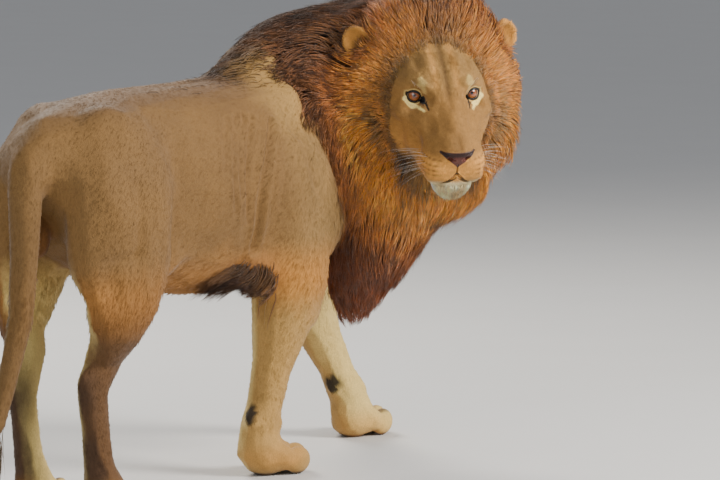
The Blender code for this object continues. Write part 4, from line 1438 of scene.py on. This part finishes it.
def eye_tint(x, y, front):
    """Brownish white, a dark rim round an amber iris with fibres, and a black pupil."""
    off_axis = np.hypot(x, y)
    angle = np.arctan2(y, x)
    fibre = 0.86 + 0.14 * np.cos(23 * angle + 2 * np.cos(7 * angle)) * np.cos(11 * angle)
    tint = np.tile(linear(150, 120, 96), (len(x), 1))
    discs = (
        (linear(40, 22, 12), IRIS + 0.0030, IRIS - 0.0002, 1.0),
        (linear(160, 92, 50) * fibre[:, None], IRIS - 0.0002, IRIS - 0.0022, 1.0),
        (linear(112, 46, 26), 0.0085, 0.0050, 0.6),
        (linear(10, 8, 8), PUPIL + 0.0004, PUPIL - 0.0004, 1.0),
    )
    for colour, far, full, share in discs:
        tint = mix(tint, colour, share * (ramp(-off_axis, -far, -full) * front))
    return tint


def build_eye(side):
    """An eyeball with its iris turned to the viewer, a little towards the opening's middle."""
    bm = bmesh.new()
    bmesh.ops.create_uvsphere(bm, u_segments=48, v_segments=64, radius=EYE_RADIUS)
    name = SIDE_NAMES[side]
    mesh = mesh_of(name + "_eyeball", bm)
    points = read(mesh.vertices, "co", 3).astype(float)
    x, y, z = points.T
    front = z > 0
    add_colours(mesh, eye_tint(x, y, front))
    bulge = CORNEA_RISE * np.clip(1 - (np.hypot(x, y) / IRIS) ** 2, 0, 1) * front
    points[:, 2] += bulge
    gaze = unit(-view_direction() * GAZE_SHARE + (1 - GAZE_SHARE) * head_way(eye_axes(side)[0]))
    turn = Vector((0, 0, 1)).rotation_difference(Vector(gaze)).to_matrix()
    set_points(mesh, points @ np.array(turn).T + np.array(EYE_CENTRES[side]))
    mesh.shade_smooth()
    dress(add_object(name + "_eyeball", mesh), EYE_LOOK, "eye_amber", name + "_eye")


def whisker_roots():
    """Places in the head's frame, the way each whisker leaves, and whether it's over the eye."""
    for row, (start, tilt) in enumerate(WHISKER_ROWS):
        for x in (0.100, 0.111, 0.122, 0.133, 0.144):
            yield (x, 0.068, start + tilt * (0.15 - x)), (-0.40, 1.0, 0.05 - 0.16 * row), False
    for y in (0.055, 0.066, 0.075):
        yield (0.020, y, 0.030), (0.35, 0.45, 0.9), True


def build_whiskers(coat):
    """White whiskers in four rows, and a few hairs over the eyes."""
    tree = coat.surface.tree()
    t = np.linspace(0, 1, WHISKER_RINGS)[:, None]
    paths, widths = [], []
    for side in SIDES:
        for (x, y, z), way, brow in whisker_roots():
            root, _ = nearest_on(tree, from_head([(x, side * y, z)]))
            way = unit(head_way((way[0], side * way[1], way[2])) + 0.10 * RNG.normal(size=3))
            long = 0.035 if brow else (0.062 + 0.035 * RNG.random()) * (0.14 / x)
            sag = np.array((0, 0, -0.30)) * long * t**2
            back = head_way((-0.25, 0, 0)) * long * t**2
            paths.append(root[0] - way * 0.001 + way * long * t + sag + back)
            widths.append(0.0008 if brow else 0.0011)
    path = np.array(paths)
    count = len(path)
    side, lift = frames_of(path, np.tile(head_way((0, 0, 1)), (*path.shape[:2], 1)))

    def tint(along):
        return np.tile(linear(238, 232, 218), (count, len(along), 1)) * (1 - 0.1 * along)[None, :, None]

    spots = 0.02 + 0.9 * np.stack((np.arange(count) / count, np.zeros(count)), axis=1)
    piece = lock_mesh("whiskers", path, side, lift, np.array(widths), tint, spots)
    dress(piece, WHISKER_LOOK, "coat_pale")


# ---------------------------------------------------------------- the skin as a piece
def unwrapped(obj):
    """Unwraps the skin and returns the places of each triangle's corners."""
    bpy.context.view_layer.objects.active = obj
    obj.select_set(True)
    layer = obj.data.uv_layers.new(name="OFBake").name
    bpy.ops.object.mode_set(mode="EDIT")
    bpy.ops.mesh.select_all(action="SELECT")
    bpy.ops.uv.smart_project(angle_limit=math.radians(66), island_margin=0.001)
    bpy.ops.object.mode_set(mode="OBJECT")
    obj.data.calc_loop_triangles()
    loops = read(obj.data.loop_triangles, "loops", 3, np.int32)
    places = read(obj.data.uv_layers[layer].data, "uv", 2)[loops]
    return np.clip(places, 0.001, 1 - PATCH - 0.001)


def bare_share(points):
    """1 on the bare nose, lids and lips, 0 on fur."""
    bare = nose_pad(head_of(points))
    for side in SIDES:
        gap, ahead = lid_gap(points, side)
        bare = np.maximum(bare, ahead * ramp(-gap, -0.0050, -0.0030))
    return bare


def build_skin():
    """The skin, its regions and colours, and the surface of the coat's tips."""
    points, triangles, owner, names = cad_shape()
    solids = BVHTree.FromPolygons(points.tolist(), triangles.tolist())
    obj, surface = fused(points, triangles)
    outer = copy.copy(surface)
    outer.points = surface.points.copy()
    regions = find_regions(surface, solids, owner, names)
    outer_lie = lie_of(outer, regions)
    near_ear = outer.spread(regions["ear"], 2)
    sink(surface, depth_of(regions, surface))
    blunt_bib(surface, regions)
    model_body(surface)
    surface = thin_out(obj, surface)
    surface = detail(obj, surface, body_of(surface.points)[:, 2] < 0.085)
    model_paws(surface)
    surface = detail(obj, surface, near_face(surface.points))
    surface.smooth(3, within(head_of(surface.points), (0.05, 0, -0.06), 0.2, 0.17))
    surface = detail(obj, surface, near_fine_parts(surface.points))
    model_face(surface)
    surface.points[:, 2] = np.maximum(surface.points[:, 2], 0)
    set_points(obj.data, surface.points)
    regions = find_regions(surface, solids, owner, names)
    tint = skin_tint(surface, regions)
    unwrap = unwrapped(obj)
    add_colours(obj.data, tint)
    bare = obj.data.attributes.new("bare", "FLOAT", "POINT")
    bare.data.foreach_set("value", bare_share(surface.points).astype(np.float32))
    obj.data.shade_smooth()
    obj.data.materials.clear()
    dress(obj, SKIN_LOOK, "coat_tawny", *[name for name in names if not name.endswith("_eye")])
    return Coat(surface, regions, tint, unwrap, outer, outer_lie, near_ear)


# ---------------------------------------------------------------- the coat's pieces
def grow_short_fur(coat):
    """Short fur over body, legs, feet, face and ears, in a few pieces."""
    points, regions = coat.points, coat.regions
    forward, _, up = body_of(points).T
    local = regions["local"]
    long_hair = np.clip(regions["mane"] + regions["tuft"] + 0.8 * regions["elbow"], 0, 1)
    face = np.clip(regions["face"], 0, 1)
    ear = np.clip(regions["ear"], 0, 1)
    foot = ramp(-up, -0.14, -0.09)
    body = (1 - ramp(long_hair, 0.5, 0.95)) * (1 - ramp(face + ear, 0.3, 0.7))
    body = body * (1 + 0.6 * foot) * (up > 0.012)
    under = ramp(-up, -0.60, -0.52) * ramp(up, 0.42, 0.46)
    size = (0.012 - 0.007 * foot + 0.006 * under, 0.0015 - 0.0006 * foot)
    size = (*size, 0.0010 - 0.0006 * foot + 0.0010 * under)
    muzzle = ramp(local[:, 0], 0.02, 0.12)
    gap = np.full(len(points), 1.0)
    for side in SIDES:
        lids, ahead = lid_gap(points, side)
        gap = np.minimum(gap, np.where(ahead > 0, lids, 1.0))
    near_eye = ramp(-gap, -0.030, -0.012)
    clear = ramp(gap, 0.0072, 0.0090) * ramp(coat.line_gap(TEAR_LINE), 0.0060, 0.0090)
    clear = clear * ramp(coat.line_gap(MOUTH), 0.0035, 0.0060)
    clear = clear * (1 - ramp(nose_pad(local), 0.02, 0.2))
    face_fur = ramp(face, 0.3, 0.6) * clear * (1 + 0.8 * muzzle)
    face_size = (0.0090 - 0.0045 * np.maximum(muzzle, near_eye), 0.0010, 0.0011 - 0.0006 * near_eye)
    ears = ramp(ear, 0.4, 0.7)
    # Name, weight, count, the hairs' length, width and rise, how much they stray, and slot.
    pieces = (
        ("coat_fore", body * ((forward > 0) & (up > 0.5)), 20000, size, 0.08, "coat_tawny"),
        ("coat_rear", body * ((forward <= 0) & (up > 0.5)), 30000, size, 0.08, "coat_tawny"),
        ("coat_legs", body * (up <= 0.5), 30000, size, 0.08, "coat_tawny"),
        ("coat_face", face_fur, 34000, face_size, 0.12, "coat_pale"),
        ("coat_ears", ears, 6000, (0.009, 0.0010, 0.0016), 0.15, "coat_tawny"),
    )
    for name, weight, count, sizes, stray, slot in pieces:
        dress(grow_tufts(coat, name, weight, count, *sizes, stray), SHORT_LOOK, slot)


def grow_mane(coat):
    """The mane in pieces: the face's edge, ruff, neck, bib and crest."""
    regions = coat.regions
    local = regions["local"]
    forward, left, up = body_of(coat.points).T
    reach = face_reach(local) + 0.10 * (noise(coat.points, 0.02) - 0.5)
    jaw = under_jaw(local)
    mane = np.maximum(np.clip(regions["mane"], 0, 1), np.maximum(regions["face"], regions["ear"]))
    starts = np.maximum(ramp(reach, 0.79, 0.90) * (local[:, 0] < 0.03), jaw)
    face = np.clip(regions["face"], 0, 1)
    mane = mane * np.maximum(1 - ramp(face, 0.2, 0.6), starts) * (1 - ramp(regions["ear"], 0.05, 0.3))
    edge = starts * (1 - ramp(reach, 1.10, 1.30)) * mane
    ruff = ramp(regions["ruff"], 0.2, 0.6) * mane * ramp(reach, 0.98, 1.10)
    chest = ramp(regions["chest"], 0.3, 0.7)
    neck = np.clip(mane - ramp(regions["ruff"], 0.2, 0.6) - chest, 0, 1) * (reach > 1.0)
    right = local[:, 1] < 0
    edge_long = 0.009 + 0.014 * ramp(reach, 0.80, 0.94) + 0.042 * ramp(reach, 0.94, 1.15) + 0.050 * jaw
    ruff_long = 0.055 + 0.060 * ramp(reach, 1.05, 1.5)
    ruff_long = ruff_long * (1 - 0.65 * near_ears(local, 0.095, 0.055, (0.03, 0, 0)))
    neck_long = 0.120 - 0.050 * (ramp(up, 0.45, 0.55) * (1 - ramp(forward, 0.24, 0.34)))
    bib_long = 0.080 + 0.075 * ramp(up, 0.50, 0.62)
    thin = np.minimum(0.6 * MANE_DEPTH, 0.004 + 0.10 * np.maximum(reach - 0.9, 0))
    rising = np.tile(unit(direction(-0.9, 0, 0.55)), (len(local), 1))
    # Name, weight, count, the locks' length and depth under the tips, style, slot and way.
    pieces = (
        ("mane_edge", edge, 9500, edge_long, thin, EDGE_STYLE, "mane_gold", None),
        ("mane_ruff_right", ruff * right, 7600, ruff_long, thin, RUFF_STYLE, "mane_gold", None),
        ("mane_ruff_left", ruff * ~right, 6400, ruff_long, thin, RUFF_STYLE, "mane_gold", None),
        ("mane_neck_right", neck * (left < 0), 6200, neck_long, thin, NECK_STYLE, "mane_dark", None),
        ("mane_neck_left", neck * (left >= 0), 4600, neck_long, thin, NECK_STYLE, "mane_dark", None),
        ("mane_bib", chest, 3600, bib_long, thin, BIB_STYLE, "mane_dark", None),
        ("mane_crest_hair", regions["crest"], 1500, 0.070, 0.004, FRINGE_STYLE, "mane_dark", rising),
    )
    for name, weight, count, length, deep, style, slot, way in pieces:
        dress(grow_locks(coat, name, weight, count, length, deep, style, way), MANE_LOOK, slot)


def grow_fringes(coat):
    """Hair of the tail's tuft, elbows, chin and ears."""
    regions = coat.regions
    local = regions["local"]
    forward = body_of(coat.points)[:, 0]
    tuft = np.clip(regions["tuft"], 0, 1)
    ragged = ramp(noise(coat.points, 0.02), 0.25, 0.55)
    elbow = ramp(regions["elbow"], 0.2, 0.7) * ragged
    front = ramp(forward, -0.03, 0.04) * (1 - ramp(forward, 0.20, 0.30)) + ramp(forward, 0.37, 0.44)
    back = unit(mix(direction(-0.75, 0, -0.60), direction(-0.15, 0, -1.0), front))
    chin = ramp(-local[:, 2], 0.178, 0.190) * ramp(local[:, 0], 0.04, 0.07)
    chin = chin * np.clip(regions["face"], 0, 1) * ramp(coat.line_gap(MOUTH), 0.006, 0.010)
    chin_long = 0.014 + 0.020 * ramp(-local[:, 2], 0.185, 0.215)
    forth = np.tile(unit(head_way((0.35, 0, 0)) + DOWN), (len(local), 1))
    inner = near_ears(local, 0.026, 0.014, (0.018, -0.014, -0.016))
    ways = [head_way((0.25, side * 0.8, -0.35)) for side in (RIGHT, LEFT)]
    inwards = np.where(local[:, 1:2] < 0, *ways)
    # Name, weight, count, the locks' length and depth under the tips, style, way, shade and slot.
    pieces = (
        ("tail_tuft_hair", tuft, 1200, 0.08, 0.010, NECK_STYLE, None, 1.0, "mane_dark"),
        ("elbow_hair", elbow, 2200, 0.105, 0.004, FRINGE_STYLE, back, 0.5, "mane_dark"),
        # The chin's hair is brightened 1.8 times past its colour: painted light against the shade under the
        # jaw.
        ("chin_hair", chin, 2400, chin_long, -0.001, CHIN_STYLE, forth, 1.8, "coat_pale"),
        ("ear_hair", inner, 500, 0.034, -0.004, EAR_STYLE, inwards, 1.3, "coat_pale"),
    )
    for *piece, slot in pieces:
        dress(grow_locks(coat, *piece), MANE_LOOK, slot)


# ---------------------------------------------------------------- studio
def build_floor():
    bm = bmesh.new()
    bmesh.ops.create_grid(bm, x_segments=8, y_segments=8, size=30.0)
    mesh = mesh_of("floor", bm)
    material, tree, shader = new_material("studio_floor", Roughness=0.85)
    shade = mapped(tree, noise_node(tree, 3.0), 0.60, 0.63)
    tree.links.new(shade, shader.inputs["Base Color"])
    mesh.materials.append(material)
    add_object("floor", mesh)


def aim(obj, target):
    obj.rotation_euler = (Vector(target) - obj.location).to_track_quat("-Z", "Y").to_euler()


def area_light(name, place, size, power, colour):
    data = bpy.data.lights.new(name, "AREA")
    data.shape = "DISK"
    data.size = size
    data.energy = power
    data.color = colour
    light = add_object(name, data)
    light.location = Vector(world(*place))
    aim(light, world(0.1, 0, 0.6))


def build_studio():
    build_floor()
    area_light("key", (1.0, -4.6, 3.2), 2.2, 430, (1.0, 0.95, 0.88))
    area_light("fill", (-4.6, -1.0, 2.2), 4.0, 110, (0.94, 0.97, 1.0))
    area_light("back", (2.2, 3.4, 3.6), 2.5, 260, (1.0, 0.94, 0.84))
    sky = bpy.data.worlds.new("studio")
    sky.use_nodes = True
    background = sky.node_tree.nodes["Background"]
    background.inputs["Color"].default_value = (0.86, 0.88, 0.92, 1)
    background.inputs["Strength"].default_value = 0.42
    bpy.context.scene.world = sky


def build_camera():
    data = bpy.data.cameras.new("camera")
    data.lens = LENS
    data.sensor_width = 36
    data.clip_end = 100
    camera = add_object("camera", data)
    camera.location = Vector(VIEW_TARGET - VIEW_DISTANCE * view_direction())
    aim(camera, VIEW_TARGET)
    bpy.context.scene.camera = camera


the_coat = build_skin()
grow_short_fur(the_coat)
grow_mane(the_coat)
grow_fringes(the_coat)
for eye_side in SIDES:
    build_eye(eye_side)
build_whiskers(the_coat)
build_studio()
build_camera()
